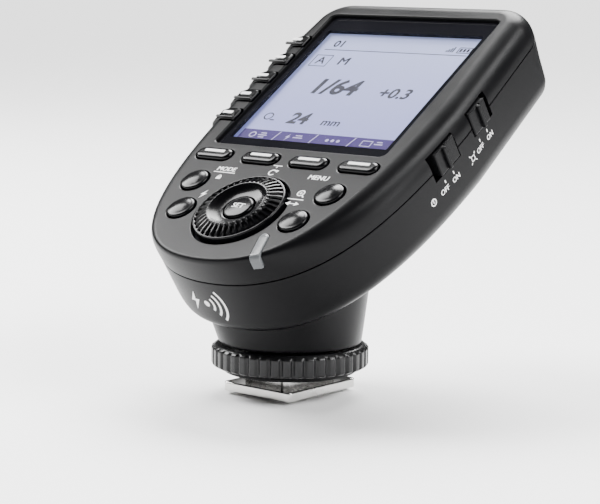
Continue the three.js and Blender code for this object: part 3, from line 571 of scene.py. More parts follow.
def straight(shape, z0, z1, place=HEAD, steps=8):
    return stack("cutter", shape, [(0, z0), (0, z1)], place, steps)


def cutter(*sizes, place=HEAD):
    return block("cutter", *sizes, place)


def side_rod(y, z, radius, x0, x1, name="cutter"):
    """A cylinder across the head."""
    rings = []
    for x in (x0, x1):
        rings.append([(x, y + radius * math.cos(a), z + radius * math.sin(a))
                      for a in (2 * math.pi * i / 32 for i in range(32))])
    return skin(name, rings)


def port_cutters():
    return [
        cutter(-34, -26, USB.y - USB.half_y - GAP, USB.y + USB.half_y + GAP,
               USB.z - USB.half_z - GAP, USB.z + USB.half_z + GAP),
        side_rod(JACK.y, JACK.z, JACK.radius + GAP, -34, -20),
    ]


def switch_cutters():
    return [cutter(27.5, 34, *switch["hole"], *SWITCH_Z) for switch in SWITCHES.values()]


# ---------------------------------------------------------------- shells

def lamp_sweep(name, margin=0.0):
    """The status lamp's strip: along the panel, then down over the nose's edge."""
    start, end = Vector(LAMP.start), Vector(LAMP.end)
    along = (end - start).normalized()
    across = Vector((-along.y, along.x))
    length = (end - start).length
    half = LAMP.half + margin
    proud = LAMP.proud if not margin else 2.5
    under = LAMP.thick + margin
    bend = 0.9
    path = []
    for angle in quarter(8):
        s = -half * math.cos(angle)
        path.append((s, 0.0, 0.0, math.sqrt(max(half * half - s * s, 0.0004))))
    path.append((length - bend, 0.0, 0.0, half))
    for angle in quarter(6, 1):
        path.append((length - bend + bend * math.sin(angle), -bend * (1 - math.cos(angle)), angle, half))
    path.append((length, -LAMP.drop - margin, math.pi / 2, half))
    rings = []
    for s, z, angle, wide in path:
        centre = start + along * s
        ring = []
        soft = 0.0 if margin else min(0.22, wide * 0.4)
        section = [(-wide, -under), (wide, -under), (wide, proud - soft), (wide - soft, proud),
                   (soft - wide, proud), (-wide, proud - soft)]
        for a, h in section:
            spot = centre + across * a + along * h * math.sin(angle)
            ring.append((spot.x, spot.y, z + h * math.cos(angle)))
        rings.append(ring)
    return skin(name, rings)


def build_upper_shell():
    shell = upper_volume("upper_case_shell")
    cut(shell, upper_volume("inner", WALL, PARTING - 1))
    ledge = cutter(-SCREEN.x - 1.2, SCREEN.x + 1.2, SCREEN.low - 0.9, SCREEN.high + 1.1,
                   LEDGE.bottom, -WALL + 0.1)
    join(shell, ledge)
    middle = (SCREEN.low + SCREEN.high) / 2
    half = (SCREEN.high - SCREEN.low) / 2
    cut(shell, flared((0, middle, SCREEN.x, half, SCREEN.corner), depth=SCREEN.depth, radius=0.4))
    cut(shell, cutter(-LEDGE.x, LEDGE.x, LEDGE.low, LEDGE.high, -5, 0))
    for x, y in ROUND_KEYS.values():
        cut(shell, flared(circle(x, y, ROUND_HOLE), radius=0.3, steps=12),
            straight(circle(x, y, 4.05), -5, -WALL))
    for x in FUNCTION_X:
        half_y = FUNCTION.half_y + FUNCTION.gap
        half_x = FUNCTION.half_x + FUNCTION.gap
        cut(shell, flared((x, FUNCTION.y, half_x, half_y, half_y), radius=0.3))
    cut(shell, flared(circle(0, DIAL.y, DIAL.hole), radius=0.35, steps=20))
    for y in GROUP_Y.values():
        cut(shell, stack("cutter", (-30.1, y, 6.5, GROUP.slot, 0.4),
                         [(0, -5.9), (0, -0.6), (0.18, -0.1), (0.3, 0.4), (0.3, 4)], steps=4))
    cut(shell, lamp_sweep("cutter", 0.16), *switch_cutters(), *port_cutters())
    return finish(shell, CASE, "case", "upper_shell")


def hump_volume(name, grow=0.0):
    """The battery bay's swelling under the head and its far wall."""
    bend = 1.6 + grow
    low, high = HUMP.low - grow, HUMP.high + grow
    bottom = HUMP.bottom - grow
    outline = [(low, -18.9)]
    outline += [(low + bend - bend * math.cos(a), bottom + bend - bend * math.sin(a))
                for a in quarter(6)]
    outline += [(high - bend + bend * math.sin(a), bottom + bend - bend * math.cos(a))
                for a in quarter(6)]
    outline += [(high, HUMP.wall_top), (BAY.high, HUMP.wall_top), (BAY.high, -18.9)]
    body = prism(name, outline, -HUMP.x - grow, HUMP.x + grow)
    return ease_edges(body, 0.9, 4, 50)


def door_cut():
    x = HUMP.x
    way = RAIL.tongue + GAP
    return [
        cutter(-x, x, DOOR_START - GAP, 60, -25, HUMP.wall_top),
        cutter(-way, way, DOOR_START, 60, UNDERSIDE + WALL, RAIL.top + GAP),
    ]


def bay_hollow():
    return cutter(-BAY.x, BAY.x, BAY.low, BAY.high, BAY.floor, PARTING + 2)


def build_lower_shell():
    shell = lower_volume("lower_case_shell")
    cut(shell, lower_volume("inner", WALL, PARTING + 1))
    join(shell, hump_volume("hump"))
    join(shell, cutter(-16.3, 16.3, BAY.low - 1.2, BAY.low, UNDERSIDE + 1, PARTING - 0.4))
    cut(shell, bay_hollow(), *door_cut(), straight(circle(0, 0, NECK.bore), 5, 40, SHOE))
    cut(shell, *switch_cutters(), *port_cutters())
    for x, y in CASE_SCREWS:
        cut(shell, straight(circle(x, y, 2.1), -25, -12.9))
    return finish(shell, CASE, "case", "lower_shell")


def build_battery_door():
    x = HUMP.x - GAP
    door = hump_volume("battery_door_cover")
    combine(door, [cutter(-x, x, DOOR_START, 60, -25, HUMP.wall_top - GAP)], "INTERSECT")
    cut(door, bay_hollow())
    for side in (-1, 1):
        rail = sorted((side * RAIL.inner, side * RAIL.outer))
        tongue = sorted((side * RAIL.inner, side * RAIL.tongue))
        join(door, cutter(*rail, DOOR_START, BAY.high, BAY.floor - 0.3, RAIL.top),
             cutter(*tongue, DOOR_START + 0.6, 46, RAIL.bottom, RAIL.top))
    for i in range(6):
        y = 19 + 1.5 * i
        half = 6 - 0.55 * i
        cut(door, cutter(-half, half, y, y + 0.7, HUMP.bottom - 1, HUMP.bottom + 0.35))
    return finish(door, CASE, "battery_door", "battery_door")


# ---------------------------------------------------------------- screen

def build_screen():
    middle = (SCREEN.low + SCREEN.high) / 2
    half = (SCREEN.high - SCREEN.low) / 2
    shape = (0, middle, SCREEN.x - GAP / 2, half - GAP / 2, SCREEN.corner)
    top = WINDOW.top
    levels = [(0, WINDOW.bottom), (0, top - 0.15), (-0.05, top - 0.04), (-0.15, top)]
    border = stack("screen_border", shape, levels)
    view_middle = (DISPLAY.low + DISPLAY.high) / 2
    view_half = (DISPLAY.high - DISPLAY.low) / 2
    opening = (0, view_middle, DISPLAY.x, view_half, 0.3)
    cut(border, straight(opening, -4, 1))
    finish(border, BORDER, "case", "screen_window")
    pane = stack("screen_pane", (0, view_middle, DISPLAY.x - 0.02, view_half - 0.02, 0.3),
                 [(0, WINDOW.bottom + 0.1), (0, WINDOW.top - 0.02)])
    finish(pane, GLASS, "case", None)
    glass = (0, view_middle, 22.4, 21.7, 0.4)
    base = stack("display_base", glass, [(0, -2.9), (0, DISPLAY.top - 0.07)])
    finish(base, INNER, "case", "lcd_panel")
    face = stack("display_face", glass, [(-0.1, DISPLAY.top - 0.06), (-0.1, DISPLAY.top)])
    finish(face, LCD_FACE, "case", None)


def flat_text(words, size, bold=0.0, slant=0.0):
    """Mesh vertices and faces of a line of text, centred on its own middle, in millimetres."""
    curve = bpy.data.curves.new("words", "FONT")
    curve.body = words
    curve.size = size
    curve.align_x = "CENTER"
    curve.align_y = "CENTER"
    curve.offset = bold
    curve.shear = slant
    curve.resolution_u = 3
    thing = bpy.data.objects.new("words", curve)
    bpy.context.scene.collection.objects.link(thing)
    bpy.context.view_layer.update()
    mesh = bpy.data.meshes.new_from_object(thing.evaluated_get(bpy.context.evaluated_depsgraph_get()))
    vertices = [tuple(v.co) for v in mesh.vertices]
    faces = [tuple(f.vertices) for f in mesh.polygons]
    bpy.data.objects.remove(thing)
    return vertices, faces


def heavy_text(words, size, weight=0.1):
    """The same line printed twice, a hair apart, for a bolder stroke."""
    vertices, faces = flat_text(words, size)
    shifted = [(x + weight, y, 0.006) for x, y, _ in vertices]
    return move(gather((vertices, faces), (shifted, faces)), -weight / 2, 0)


def flat_shape(points):
    return [(x, y, 0) for x, y in points], [tuple(range(len(points)))]


def move(shape, dx, dy):
    vertices, faces = shape
    return [(x + dx, y + dy, z) for x, y, z in vertices], faces


def gather(*shapes):
    vertices, faces = [], []
    for more_vertices, more_faces in shapes:
        base = len(vertices)
        vertices += more_vertices
        faces += [tuple(base + i for i in face) for face in more_faces]
    return vertices, faces


def bar(x, y, half_x, half_y):
    return flat_shape([(x + sx * half_x, y + sy * half_y) for sx, sy in ((-1, -1), (1, -1), (1, 1), (-1, 1))])


def ring_shape(x, y, outer, inner, start=0.0, turn=1.0, steps=28):
    """A flat ring or arc, as a strip of quads."""
    points, faces = [], []
    for i in range(steps + 1):
        angle = 2 * math.pi * (start + turn * i / steps)
        for radius in (outer, inner):
            points.append((x + radius * math.cos(angle), y + radius * math.sin(angle), 0))
    for i in range(steps):
        a = 2 * i
        faces.append((a, a + 2, a + 3, a + 1))
    return points, faces


def disc(x, y, radius, steps=24):
    angles = [2 * math.pi * i / steps for i in range(steps)]
    return flat_shape([(x + radius * math.cos(a), y + radius * math.sin(a)) for a in angles])


def frame_shape(x, y, half_x, half_y, line):
    return gather(
        bar(x, y - half_y, half_x, line / 2), bar(x, y + half_y, half_x, line / 2),
        bar(x - half_x, y, line / 2, half_y), bar(x + half_x, y, line / 2, half_y))


def bolt(x, y, size):
    outline = [(0.25, 1.0), (-0.55, -0.1), (-0.05, -0.05), (-0.35, -1.0), (0.55, 0.22), (0.05, 0.15)]
    return flat_shape([(x + size * a, y + size * b) for a, b in outline])


def on_panel(z):
    return lambda x, y, h: (x, y, z + h)


def print_on(name, shape, surface, ink, body, thick=0.02, place=HEAD):
    """Lays a flat shape on a surface as a thin closed film."""
    vertices, faces = shape
    mesh = bpy.data.meshes.new(name)
    mesh.from_pydata(vertices, [], faces)
    work = bmesh.new()
    work.from_mesh(mesh)
    bmesh.ops.remove_doubles(work, verts=work.verts, dist=1e-4)
    for face in work.faces:
        if face.normal.z < 0:
            face.normal_flip()
    made = bmesh.ops.extrude_face_region(work, geom=work.faces[:])
    for element in made["geom"]:
        if isinstance(element, bmesh.types.BMVert):
            element.co.z += thick
    bmesh.ops.recalc_face_normals(work, faces=work.faces)
    for vertex in work.verts:
        vertex.co = surface(vertex.co.x, vertex.co.y, vertex.co.z)
    work.to_mesh(mesh)
    work.free()
    mesh.transform(place)
    piece = bpy.data.objects.new(name, mesh)
    bpy.context.scene.collection.objects.link(piece)
    mesh.materials.append(ink)
    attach(piece, body)
    return piece


def build_display_content():
    level = on_panel(DISPLAY.top + 0.004)
    charge = [bar(17.6 + 0.95 * i, 41.0, 0.3, 0.55) for i in range(3)]
    battery = gather(frame_shape(18.6, 41.0, 1.7, 0.95, 0.22), *charge, bar(20.6, 41.0, 0.2, 0.45))
    bars = gather(*[bar(14.0 + 0.55 * i, 40.5 + 0.22 * i, 0.17, 0.3 + 0.22 * i) for i in range(4)])
    channel = move(flat_text("01", 3.3, 0.07), -16.4, 41.3)
    top_line = gather(bar(0.4, 39.1, 19.8, 0.11), channel, battery, bars)
    group = gather(frame_shape(-17.5, 34.9, 2.35, 2.05, 0.2), move(flat_text("A", 3.6, 0.05), -17.5, 34.9),
                   move(heavy_text("M", 3.9, 0.16), -10.9, 34.9))
    power = move(flat_text("1/64", 7.3, 0.22, 0.12), -6.9, 25.3)
    step = move(flat_text("+0.3", 4.8, 0.1, 0.1), 10.3, 24.4)
    lamp = gather(ring_shape(-17.6, 13.9, 1.25, 0.95), bar(-15.9, 12.7, 0.6, 0.18))
    unit = move(heavy_text("mm", 3.4, 0.12), 0.6, 13.2)
    zoom = gather(move(flat_text("24", 5.3, 0.17, 0.1), -8.9, 13.7), unit, lamp)
    digits = gather(top_line, group, power, step, zoom)
    print_on("display_digits", digits, level, LCD_INK, "case")
    band = bar(0, 7.35, 21.0, 1.75)
    print_on("display_band", band, level, LCD_BAND, "case")
    above = on_panel(DISPLAY.top + 0.026)
    splits = gather(*[flat_shape([(x - 0.65, 5.75), (x - 0.4, 5.75), (x + 0.5, 8.95), (x + 0.25, 8.95)])
                      for x in (-10.6, -0.2, 10.2)])
    cells = gather(
        ring_shape(-17.4, 7.3, 0.95, 0.65), bar(-14.6, 7.3, 1.2, 0.16),
        bar(-14.6, 6.6, 0.8, 0.16), bar(-14.6, 8.0, 0.8, 0.16),
        bolt(-7.4, 7.3, 1.1), bar(-4.6, 7.3, 1.3, 0.16), bar(-4.6, 8.0, 0.9, 0.16),
        *[disc(3.6 + 1.5 * i, 7.3, 0.45) for i in range(3)],
        frame_shape(14.2, 7.3, 1.3, 0.85, 0.2), bar(17.4, 7.3, 1.1, 0.16), bar(17.4, 8.0, 0.7, 0.16))
    print_on("display_cells", gather(splits, cells), above, LCD_PALE, "case")


# ---------------------------------------------------------------- keys and dial

def build_round_key(name, x, y):
    base = [(0.65, -2.9), (0.65, -2.1), (0, -2.1), (0, 0.1)]
    crown = []
    for angle in quarter(5, 1):
        crown.append((-0.5 * (1 - math.cos(angle)), 0.1 + 0.42 * math.sin(angle)))
    for i in range(1, 9):
        inwards = i / 8
        crown.append((-0.5 - (ROUND_RADIUS - 0.52) * inwards, 0.52 + 0.48 * (1 - (1 - inwards) ** 2)))
    key = stack(name + "_cap", circle(x, y, ROUND_RADIUS), base + crown, steps=14)
    finish(key, KEY, name, name, angle=50)


def build_function_key(index, x):
    name = f"function_key_{index}"
    hx, hy = FUNCTION.half_x, FUNCTION.half_y
    levels = [(0, -2.9), (0, -0.1)]
    levels += [(-0.75 * (1 - math.cos(a)), -0.1 + 0.75 * math.sin(a)) for a in quarter(6, 1)]
    levels += [(-1.05, 0.68)]
    key = stack(name + "_cap", (x, FUNCTION.y, hx, hy, hy), levels, steps=10)
    finish(key, KEY, name, name, angle=60)
    mark = stack(name + "_mark", (x + 0.1, FUNCTION.y + 0.42, 2.8, 0.4, 0.2),
                 [(0, 0.4), (0, 0.72), (-0.05, 0.76)], steps=4)
    finish(mark, WHITE_MARK, name, None)


def build_group_key(letter, y):
    name = f"group_key_{letter}"
    inner, half = GROUP.inner, GROUP.half
    edge = taper_at(y)
    outline = [(inner, -3.4), (inner, 0.1), (inner - 0.5, 0.42)]
    outline += [(edge + x, z) for x, z in (
        (-27.4, 0.42), (-29.3, -0.2), (-30.8, -1.4), (-31.8, -3.0), (-32.1, -4.6), (-32.1, -5.2),
        (-30.3, -5.2), (-29.9, -3.4))]
    bar_body = skin(name + "_cap", [[(x, side, z) for x, z in outline] for side in (y + half, y - half)])
    ease_edges(bar_body, 0.3, 3, 28)
    lip = cutter(-28.8, inner + 0.2, y - half + 0.05, y - half + 0.75, 0.2, 0.72)
    ease_edges(lip, 0.22, 3)
    join(bar_body, lip)
    finish(bar_body, KEY, name, name, angle=40)
    mark = stack(name + "_mark", (-26.6, y + 0.3, 1.4, 0.45, 0.2),
                 [(0, -0.2), (0, 0.47), (-0.05, 0.5)], steps=4)
    finish(mark, WHITE_MARK, name, None)


def smooth_step(value):
    value = min(max(value, 0.0), 1.0)
    return value * value * (3 - 2 * value)


def build_dial():
    radius, bottom, bore = DIAL.radius, DIAL.bottom, DIAL.bore

    def section(turn):
        phase = abs(((turn * DIAL.ribs) % 1.0) - 0.5) * 2
        ridge = smooth_step((phase - 0.45) / 0.3)
        sink = 0.6 * (1 - ridge)
        points = [(bore, bottom), (radius - 0.7, bottom), (radius - 0.2, bottom + 0.3)]
        points += [(radius, bottom + 0.8), (radius, 0.5), (radius - 0.02, 0.72), (radius - 0.1, 0.86)]
        points += [(radius - 0.25, 0.92), (radius - 0.42, 0.88), (radius - 0.55, 0.78 - sink * 0.5)]
        points += [(radius - 0.75, 0.86 - sink), (9.0, 1.14 - sink), (8.4, 1.36 - sink),
                   (7.8, 1.56 - sink), (7.3, 1.72 - sink * 0.9), (6.95, 1.84 - sink * 0.45)]
        points += [(6.75, 1.92), (6.6, 1.92), (6.45, 1.84), (6.2, 1.6), (5.8, 1.26), (5.3, 0.96),
                   (4.7, 0.74), (4.1, 0.62),
                   (bore + 0.2, 0.58), (bore + 0.05, 0.52), (bore, 0.35)]
        return points

    dial = wheel("dial_cap", section, DIAL.ribs * 10, HEAD @ Matrix.Translation((0, DIAL.y, 0)))
    finish(dial, KEY, "dial_wheel", "dial_wheel", angle=45)
    place = HEAD @ Matrix.Translation((0, DIAL.y, 0))
    profile = [(0, -3.7), (1.6, -3.7), (1.6, -1.2), (3.3, -1.2), (3.3, 0.45)]
    profile += [(3.3 - 0.6 * (1 - math.cos(a)), 0.45 + 0.5 * math.sin(a)) for a in quarter(5, 1)]
    profile += [(2.7 * (1 - i / 7), 0.95 + 0.2 * (1 - (1 - i / 7) ** 2)) for i in range(1, 8)]
    button = lathe("set_button_cap", profile, place, 56)
    finish(button, KEY, "set_button", "set_button", angle=50)

    def on_button(x, y, h):
        reach = math.hypot(x, y) / 2.7
        return (x, y, 0.95 + 0.2 * (1 - min(reach, 1.0) ** 2) + 0.012 + h)

    print_on("set_button_print", heavy_text("SET", 2.0), on_button, INK,
             "set_button", 0.02, place)


def build_panel_print():
    panel = on_panel(0.004)
    lock = gather(bar(-13.1, -10.1, 0.62, 0.42), ring_shape(-13.1, -9.65, 0.5, 0.28, 0, 0.5, 10))
    magnifier = gather(ring_shape(11.4, -12.2, 0.95, 0.66),
                       bar(11.4, -12.2, 0.4, 0.1), bar(11.4, -12.2, 0.1, 0.4),
                       flat_shape([(12.0, -12.9), (12.22, -12.7), (12.85, -13.35), (12.63, -13.55)]))
    lines = gather(bar(-12.8, -8.25, 3.0, 0.11), bar(11.3, -14.2, 2.1, 0.11), bar(-0.4, -4.55, 1.2, 0.1),
                   bar(-0.4, -4.9, 0.1, 0.35))
    reset = gather(ring_shape(-0.4, -6.8, 0.95, 0.66, 0.1, 0.8),
                   flat_shape([(0.1, -5.9), (0.95, -6.0), (0.6, -6.75)]))
    arrows = gather(flat_shape([(9.6, -15.6), (10.7, -15.0), (10.7, -16.2)]),
                    flat_shape([(13.2, -15.6), (12.1, -16.2), (12.1, -15.0)]),
                    bar(11.4, -15.6, 0.8, 0.12))
    words = gather(move(heavy_text("MODE", 1.85), -12.9, -7.2), move(heavy_text("MENU", 1.95), 12.4, -7.1))
    print_on("panel_print", gather(lock, magnifier, lines, reset, arrows, words, bolt(-13.0, -15.7, 1.35)),
             panel, INK, "case", 0.015)


def wall_x(y):
    """Where the right side wall stands at a place along the head."""
    if y >= SIDE_START:
        return HALF_WIDTH - taper_at(y)
    samples = [bezier(i / 60)[0] for i in range(61)]
    return float(np.interp(y, [s[1] for s in samples], [s[0] for s in samples]))


def build_side_print():
    def on_side(y, z, h):
        return (wall_x(y) + 0.004 + h, y, z)

    level = -12.1
    power = gather(ring_shape(2.6, level, 0.85, 0.6), bar(2.6, level + 0.2, 0.12, 0.45))
    lamp = gather(frame_shape(17.6, level, 0.55, 0.55, 0.2),
                  *[flat_shape([(17.6 + sx * 0.6, level + sz * 0.8), (17.6 + sx * 0.8, level + sz * 0.6),
                                (17.6 + sx * 1.15, level + sz * 1.0), (17.6 + sx * 1.0, level + sz * 1.15)])
                    for sx in (-1, 1) for sz in (-1, 1)])
    words = gather(*[move(heavy_text(word, 1.65, 0.07), y, level)
                     for word, y in (("OFF", 6.7), ("ON", 10.9), ("OFF", 20.9), ("ON", 25.4))])
    ticks = gather(*[bar(y, level + 1.6, 0.14, 0.35) for y in (7.6, 10.7, 21.6, 25.0)])
    marks = gather(power, lamp, words, ticks)
    print_on("side_print", marks, on_side, INK, "case", 0.015)


def build_nose_print():
    """A generic radio-wave mark on the lower shell's nose."""
    quarter = [bezier(i / 80) for i in range(81)]
    points = np.array([p for p, n in quarter])
    lengths = np.concatenate([[0], np.cumsum(np.hypot(*np.diff(points, axis=0).T))])

    def on_nose(u, z, h):
        distance = abs(u)
        x = float(np.interp(distance, lengths, points[:, 0]))
        y = float(np.interp(distance, lengths, points[:, 1]))
        i = min(int(np.searchsorted(lengths, distance)), len(quarter) - 1)
        nx, ny = quarter[i][1]
        lift = 0.006 + h
        side = 1 if u >= 0 else -1
        return (side * (x + nx * lift), y + ny * lift, z)

    middle = -13.0
    waves = gather(*[ring_shape(-4.0, middle, radius + 0.28, radius - 0.28, -0.125, 0.25, 16)
                     for radius in (2.1, 3.7, 5.3)],
                   disc(-4.0, middle, 0.75), bolt(-7.6, middle, 2.7))
    print_on("nose_print", waves, on_nose, INK, "case", 0.015)


def build_lamp():
    strip = lamp_sweep("status_lamp_strip")
    finish(strip, LIGHT_PIPE, "case", "status_lamp", angle=50)


def build_switch(name, place):
    body = name + "_knob"
    near, far = place["knob"]
    low, high = SWITCH_Z[0] + GAP, SWITCH_Z[1] - GAP
    knob = cutter(SWITCH_BACK, SWITCH_FACE, near, far, low, high)
    knob.name = body + "_cap"
    ease_edges(knob, 0.35, 4)
    ridge = place["ridge"]
    rib = cutter(SWITCH_FACE - 1, SWITCH_FACE + 0.7, ridge - 0.5, ridge + 0.5, low + 0.02, high - 0.02)
    ease_edges(rib, 0.3, 4)
    join(knob, rib)
    cut(knob, cutter(SWITCH_FACE - 0.4, SWITCH_FACE + 0.4, ridge + 0.55, ridge + 0.95, low - 1, high + 1))
    join(knob, cutter(SWITCH_BACK, SWITCH_BACK + 1, near - 1.6, far + 1.6, low - 0.4, high - 1.2))
    finish(knob, KNOB, body, body, angle=40)


# ---------------------------------------------------------------- neck, ring and foot

def neck_ring(fraction, steps=112):
    """From a circle over the ring to a rounded square on the head's slanted underside."""
    ring = []
    slope = math.tan(TILT)
    inside = -UNDERSIDE - 3
    for i in range(steps):
        angle = 2 * math.pi * i / steps
        c, s = math.cos(angle), math.sin(angle)
        power = 3.2
        reach = (abs(c / NECK.half_x) ** power + abs(s / NECK.half_y) ** power) ** (-1 / power)
        radius = NECK.radius + (reach - NECK.radius) * fraction
        y = radius * s + NECK.centre * fraction
        top = HEAD_HEIGHT + y * slope - inside / math.cos(TILT)
        ring.append((radius * c, y, NECK.bottom + (top - NECK.bottom) * fraction))
    return ring


def build_neck():
    shrunk = 1 - 0.25 / NECK.radius
    low = [(x * shrunk, y * shrunk, z) for x, y, z in neck_ring(0)]
    rings = [low] + [[(x, y, z + 0.2) if i == 0 else (x, y, z) for x, y, z in neck_ring(f)]
                     for i, f in enumerate([0.0] + [k / 16 for k in range(1, 17)])]
    neck = skin("shoe_neck_body", rings, SHOE)
    boss_place = SHOE @ Matrix.Rotation(math.pi / 2, 4, "X")
    middle = (BOSS.bottom + BOSS.top) / 2
    half = (BOSS.top - BOSS.bottom) / 2
    levels = [(math.sin(a) - 1.0, 1.0 - BOSS.front - math.cos(a)) for a in quarter(6)]
    levels.append((0, -BOSS.back))
    boss = stack("boss", (0, middle, BOSS.x, half, BOSS.corner), levels, boss_place, 8)
    join(neck, boss)
    groove = COLUMN.radius - COLUMN.depth
    profile = [(0, COLUMN.bottom), (groove, COLUMN.bottom)]
    z = COLUMN.bottom + 0.2
    while z < NECK.bottom - COLUMN.pitch:
        profile += [(groove, z), (COLUMN.radius, z + 0.5), (COLUMN.radius, z + 0.8)]
        profile += [(groove, z + COLUMN.pitch - 0.1)]
        z += COLUMN.pitch
    profile += [(groove, NECK.bottom + 1), (0, NECK.bottom + 1)]
    join(neck, lathe("column", profile, SHOE, 64))
    under = lower_volume("under", 0.0)
    cut(neck, under, hump_volume("under", 0.02))
    cut(neck, straight(circle(0, 0, NECK.bore), 0, 45, SHOE),
        cutter(-2.3, 2.3, 7.3, 12, 0, NECK.bottom, place=SHOE),
        stack("cutter", circle(0, LENS.z, LENS.radius + GAP), [(0, -25), (0, -17)], boss_place, 14))
    finish(neck, CASE, "case", "shoe_neck", angle=40)

    lens_place = SHOE @ Matrix.Translation((0, 20.3, LENS.z)) @ Matrix.Rotation(-math.pi / 2, 4, "X")
    radius = LENS.radius
    profile = [(0, 0.0), (radius, 0.0), (radius, 1.4), (radius - 0.15, 1.6)]
    for i in range(7):
        outer = radius - 0.2 - i * 0.62
        profile += [(outer, 1.62 + 0.09 * i), (outer - 0.5, 1.86 + 0.07 * i)]
    profile += [(0, 2.28)]
    lens = lathe("af_lamp_lens_face", profile, lens_place, 64)
    finish(lens, RED_LENS, "case", "af_lamp_lens", angle=20)


def build_lock_ring():
    radius, bottom, top, bore = RING.radius, RING.bottom, RING.top, RING.bore

    def section(turn):
        phase = abs(((turn * RING.flutes) % 1.0) - 0.5) * 2
        sink = 0.5 * (1 - smooth_step((phase - 0.08) / 0.42))
        rim = radius - sink
        return [(bore, bottom), (radius - 1.2, bottom), (radius - 0.75, bottom + 0.06),
                (rim - 0.15, bottom + 0.4), (rim, bottom + 0.75), (rim, top - 1.0),
                (rim - 0.04, top - 0.8), (radius - 0.62, top - 0.42),
                (radius - 0.75, top - 0.28), (radius - 1.1, top - 0.04), (radius - 1.35, top),
                (radius - 1.7, top - 0.03), (radius - 2.0, top - 0.28), (radius - 2.2, top - 0.4),
                (bore + 0.2, top - 0.4), (bore, top - 0.55)]

    ring = wheel("lock_ring_body", section, RING.flutes * 12, SHOE)
    finish(ring, RING_PLASTIC, "lock_ring", "lock_ring", angle=48)


def build_foot():
    radius, low, high = WASHER.radius, WASHER.bottom, WASHER.top
    profile = [(WASHER.bore, low + 0.05), (radius - 0.3, low), (radius - 0.08, low + 0.08)]
    profile += [(radius, low + 0.22), (radius, high - 0.2), (radius - 0.1, high - 0.05)]
    profile += [(radius - 0.3, high), (WASHER.bore, high)]
    washer = lathe("washer", profile, SHOE, 96)
    washer.name = "pressure_washer_disc"
    join(washer, cutter(-1.9, 1.9, 7.7, 11, WASHER.bottom, WASHER.top, place=SHOE))
    cut(washer, straight(circle(0, PIN_Y, PIN_RADIUS + 0.15), 3, 6, SHOE))
    finish(washer, KNOB, "shoe_clamp", "pressure_washer")
    rounding = [(-0.3 * (1 - math.sin(a)), 0.3 - 0.3 * math.cos(a)) for a in quarter(4)]
    soft = 0.35
    edge = FOOT.height - soft
    top_rounding = [(-soft * (1 - math.cos(a)), edge + soft * math.sin(a)) for a in quarter(4)]
    plate = stack("foot_plate_body", (0, 0, FOOT.x, FOOT.y, 1.1), rounding + top_rounding, SHOE, 6)
    stem = cutter(-STEM.x, STEM.x, -STEM.y, STEM.y, FOOT.height - 0.5, STEM.top, place=SHOE)
    join(plate, stem)
    pocket = INSULATOR.x + GAP
    cut(plate, cutter(-pocket, pocket, INSULATOR.low - GAP, INSULATOR.high + GAP,
                      -1, INSULATOR.top + GAP, place=SHOE),
        cutter(-4.2, 4.2, -3.8, 3.8, 0, 6, place=SHOE),
        straight(circle(0, PIN_Y, PIN_RADIUS + GAP), -1, 5, SHOE))
    for x, y in FOOT_SCREWS:
        cut(plate, straight(circle(x, y, 0.95), -1, 6, SHOE),
            stack("cutter", circle(x, y, 1.6), [(0.3, -0.5), (0.3, 0), (0, 0.3), (0, 1)], SHOE, 6))
    finish(plate, STEEL, "case", "foot_plate")
    block_body = cutter(-INSULATOR.x, INSULATOR.x, INSULATOR.low, INSULATOR.high,
                        0.02, INSULATOR.top, place=SHOE)
    block_body.name = "foot_insulator_block"
    ease_edges(block_body, 0.25, 3)
    pin_holes = [straight(circle(x, y, 0.85), -1, 3, SHOE) for x, y in SHOE_PINS]
    cut(block_body, straight(circle(0, 0, 1.45), -1, 3, SHOE), *pin_holes)
    finish(block_body, INNER, "case", "foot_insulator")
    build_contact("centre_contact", 0, 0, 1.15, 1.9)
    for i, (x, y) in enumerate(SHOE_PINS):
        build_contact(f"shoe_pin_{i + 1}", x, y, 0.6, 0.95)
    pin = lathe("locking_pin_body", [(0, 0.25), (0.55, 0.25), (0.82, 0.4), (0.9, 0.65), (0.9, 5.0), (0, 5.0)],
                SHOE @ Matrix.Translation((0, PIN_Y, 0)), 32)
    finish(pin, STEEL, "shoe_clamp", "locking_pin")


def build_contact(name, x, y, radius, collar):
    profile = [(0, -0.7)]
    profile += [(radius * math.sin(a), 0.45 * (1 - math.cos(a)) - 0.7) for a in quarter(6, 1)]
    profile += [(radius, 1.7), (collar, 1.7), (collar, 2.2), (radius * 0.6, 2.2), (radius * 0.6, 5), (0, 5)]
    piece = lathe(name + "_tip", profile, SHOE @ Matrix.Translation((x, y, 0)), 28)
    finish(piece, GOLD, name, name, angle=40)


def screw(name, x, y, z, head, head_height, shaft, length, place, node, flip=False):
    """A cross-slotted screw, head down; flip turns the head up."""
    turn = Matrix.Rotation(math.pi, 4, "X") if flip else Matrix.Identity(4)
    spot = place @ Matrix.Translation((x, y, z)) @ turn
    profile = [(0, 0), (head * 0.75, 0.02), (head * 0.93, 0.14), (head, 0.35), (head, head_height),
               (shaft, head_height), (shaft, length - 0.5), (shaft * 0.6, length), (0, length)]
    piece = lathe(name, profile, spot, 28)
    for size in ((head * 0.55, 0.16), (0.16, head * 0.55)):
        cut(piece, block("cutter", -size[0], size[0], -size[1], size[1], -0.5, 0.45, spot))
    finish(piece, STEEL, "case", node)


